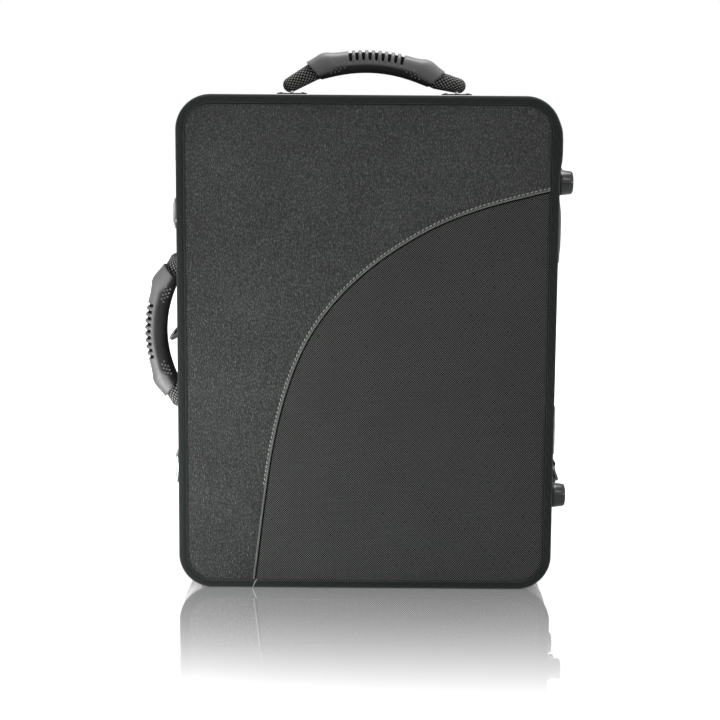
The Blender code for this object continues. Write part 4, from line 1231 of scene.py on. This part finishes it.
def ringTab(name, side, spot, node):
    depth, height = spot
    thick = ring["tabThick"]
    skin = ring["wire"] + gap + thick
    half = ring["tabHalf"]
    outer, inner = [], []
    # Section of the folded strap in (out, lift): flat on the wall, round the ring's bar, flat again
    outer = [(gap + 0.0004, half), (gap + thick * 0.75, half - 0.0002), (gap + thick * 0.95, half - 0.002)]
    outer += [(ring["out"] * 0.72, half * 0.46)]
    outer += [(ring["out"] + skin * math.cos(a), skin * math.sin(a)) for a in
              (math.radians(60 - 120 * k / 10) for k in range(11))]
    outer += [(ring["out"] * 0.72, -half * 0.46)]
    outer += [(gap + thick * 0.95, -half + 0.002), (gap + thick * 0.75, -half + 0.0002), (gap + 0.0004, -half)]
    rings = []
    for share in (-1, -0.97, -0.9, -0.5, 0, 0.5, 0.9, 0.97, 1):
        shrink = 0.0003 if abs(share) == 1 else (0.0001 if abs(share) == 0.97 else 0.0)
        y = depth + share * ring["tabWidth"] / 2
        rings.append([Vector((side * (halfWidth + out - shrink * (1 if out > 0.001 else 0)), y, height + lift))
                      for out, lift in outer])
    shape = skinRings(rings, closed=False, caps=True)
    return keepPiece(name, shape, "tabTape", "case_body", "webbing", [node])


for word, side, drop, twist in (("left", -1, ring["leftDrop"], ring["twist"]), ("right", 1, ring["rightDrop"], 0.0)):
    strapRing("strap_ring_" + word, side, ring[word], drop, twist, word + "_ring", "shoulder_ring_" + word)
    ringTab("ring_tab_cover_" + word, side, ring[word], "ring_tab_" + word)
print("hardware made")


# Padded tray: each block gets rounded edges in the space of its solid
padding = {"round": 0.0035}


def paddedBlock(node, body="case_body"):
    shape = bmesh.new()
    shape.from_mesh(frame["nodes"][node].data)
    bmesh.ops.remove_doubles(shape, verts=shape.verts, dist=2e-6)
    bmesh.ops.dissolve_limit(shape, angle_limit=math.radians(1), verts=shape.verts, edges=shape.edges)
    bmesh.ops.recalc_face_normals(shape, faces=shape.faces)
    low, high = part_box(node)
    thin = min(high - low)
    sharp = [edge for edge in shape.edges if len(edge.link_faces) == 2 and edge.calc_face_angle(0) > math.radians(40)]
    bmesh.ops.bevel(shape, geom=sharp, offset=min(padding["round"], thin * 0.28), segments=3, profile=0.6,
                    affect="EDGES", clamp_overlap=True)
    piece = keepPiece("pad_" + node, shape, "plush", body, "plush", [node], smoothAngle=60)
    return piece


for node in [name for name in frame["nodes"] if name.startswith(("tray_", "bell_", "column_"))]:
    paddedBlock(node)
paddedBlock("lid_lining", "lid")
print("tray made")


# Floor, light and camera
def stagePiece(name, points, material):
    mesh = bpy.data.meshes.new(name)
    mesh.from_pydata(points, [], [tuple(range(len(points)))])
    mesh.materials.append(material)
    made = bpy.data.objects.new(name, mesh)
    bpy.context.scene.collection.objects.link(made)
    return made


studio = {"floor": tint(238, 238, 238), "glow": 0.98, "world": 0.15, "mirror": 0.85, "mirrorFrom": -0.06,
          "mirrorLong": 0.37}


def floorMaterial():
    # White floor with a mirrored image that fades toward the camera
    made = Finish("studio_floor", roughness=0.6, level=0.3)
    place = made.place()
    tone = made.noise(place, 3.0, 2.0)
    made.colour(made.colours(tone, studio["floor"], tint(242, 242, 242)))
    paths = made.add("ShaderNodeLightPath", out="Is Camera Ray")
    glow = made.add("ShaderNodeEmission", sockets={"Strength": paths * studio["glow"]})
    both = made.add("ShaderNodeAddShader", sockets={0: Wire(made, made.shader.outputs[0]), 1: glow})
    ahead = (made.axes(place)[1] - studio["mirrorFrom"]) / -studio["mirrorLong"]
    fade = (1 - ahead * ahead).atLeast(0.0) * studio["mirror"]
    mirror = made.add("ShaderNodeBsdfGlossy", sockets={"Color": (1, 1, 1, 1), "Roughness": 0.02})
    mixed = made.add("ShaderNodeMixShader", sockets={0: fade * paths, 1: both, 2: mirror})
    made.feed(made.tree.nodes["Material Output"].inputs["Surface"], mixed)
    return made.material


def worldLight():
    world = bpy.data.worlds.new("studio_world")
    bpy.context.scene.world = world
    world.use_nodes = True
    tree = world.node_tree
    paths = tree.nodes.new("ShaderNodeLightPath")
    seen = paths.outputs["Is Camera Ray"]
    for label in ("Is Glossy Ray", "Is Transmission Ray"):
        either = tree.nodes.new("ShaderNodeMath")
        either.operation = "MAXIMUM"
        tree.links.new(seen, either.inputs[0])
        tree.links.new(paths.outputs[label], either.inputs[1])
        seen = either.outputs[0]
    level = tree.nodes.new("ShaderNodeMix")
    level.inputs[2].default_value = studio["world"]
    level.inputs[3].default_value = 1.0
    tree.links.new(seen, level.inputs[0])
    tree.links.new(level.outputs[0], tree.nodes["Background"].inputs["Strength"])
    tree.nodes["Background"].inputs["Color"].default_value = (1, 1, 1, 1)


lamps = (
    {"name": "lamp_left", "at": (-1.7, -1.5, 0.30), "size": 0.9, "power": 4.0},
    {"name": "lamp_right", "at": (1.3, -1.0, 0.5), "size": 0.35, "power": 4.5},
    {"name": "lamp_front", "at": (0.64, -1.21, 1.32), "size": 0.45, "power": 3.0},
    {"name": "lamp_above", "at": (0.10, 0.30, 2.0), "size": 1.2, "power": 38.0},
    {"name": "lamp_low", "at": (-0.36, -0.34, 0.03), "size": 0.15, "power": 3.2},
)


def addLamp(name, at, size, power):
    data = bpy.data.lights.new(name, "AREA")
    data.shape = "SQUARE"
    data.size = size
    data.energy = power
    lamp = bpy.data.objects.new(name, data)
    lamp.location = at
    aim = Vector((0, 0, 0.2)) - Vector(at)
    lamp.rotation_euler = aim.to_track_quat("-Z", "Y").to_euler()
    bpy.context.scene.collection.objects.link(lamp)


view = {"at": (-0.0052, -1.4057, 0.4000), "lens": 85.0, "pitch": 0.1547, "roll": 0.0070}


def addCamera():
    data = bpy.data.cameras.new("photo_camera")
    data.lens = view["lens"]
    data.sensor_width = 36.0
    data.clip_start = 0.01
    data.clip_end = 60.0
    camera = bpy.data.objects.new("photo_camera", data)
    turn = Matrix.Rotation(math.pi / 2 - view["pitch"], 4, "X") @ Matrix.Rotation(view["roll"], 4, "Z")
    camera.matrix_world = Matrix.Translation(view["at"]) @ turn
    bpy.context.scene.collection.objects.link(camera)
    bpy.context.scene.camera = camera


stagePiece("floor", [(-9, -9, 0), (9, -9, 0), (9, 9, 0), (-9, 9, 0)], floorMaterial())
worldLight()
for lamp in lamps:
    addLamp(**lamp)
addCamera()
bpy.context.scene.view_settings.view_transform = "Standard"
print("stage set")
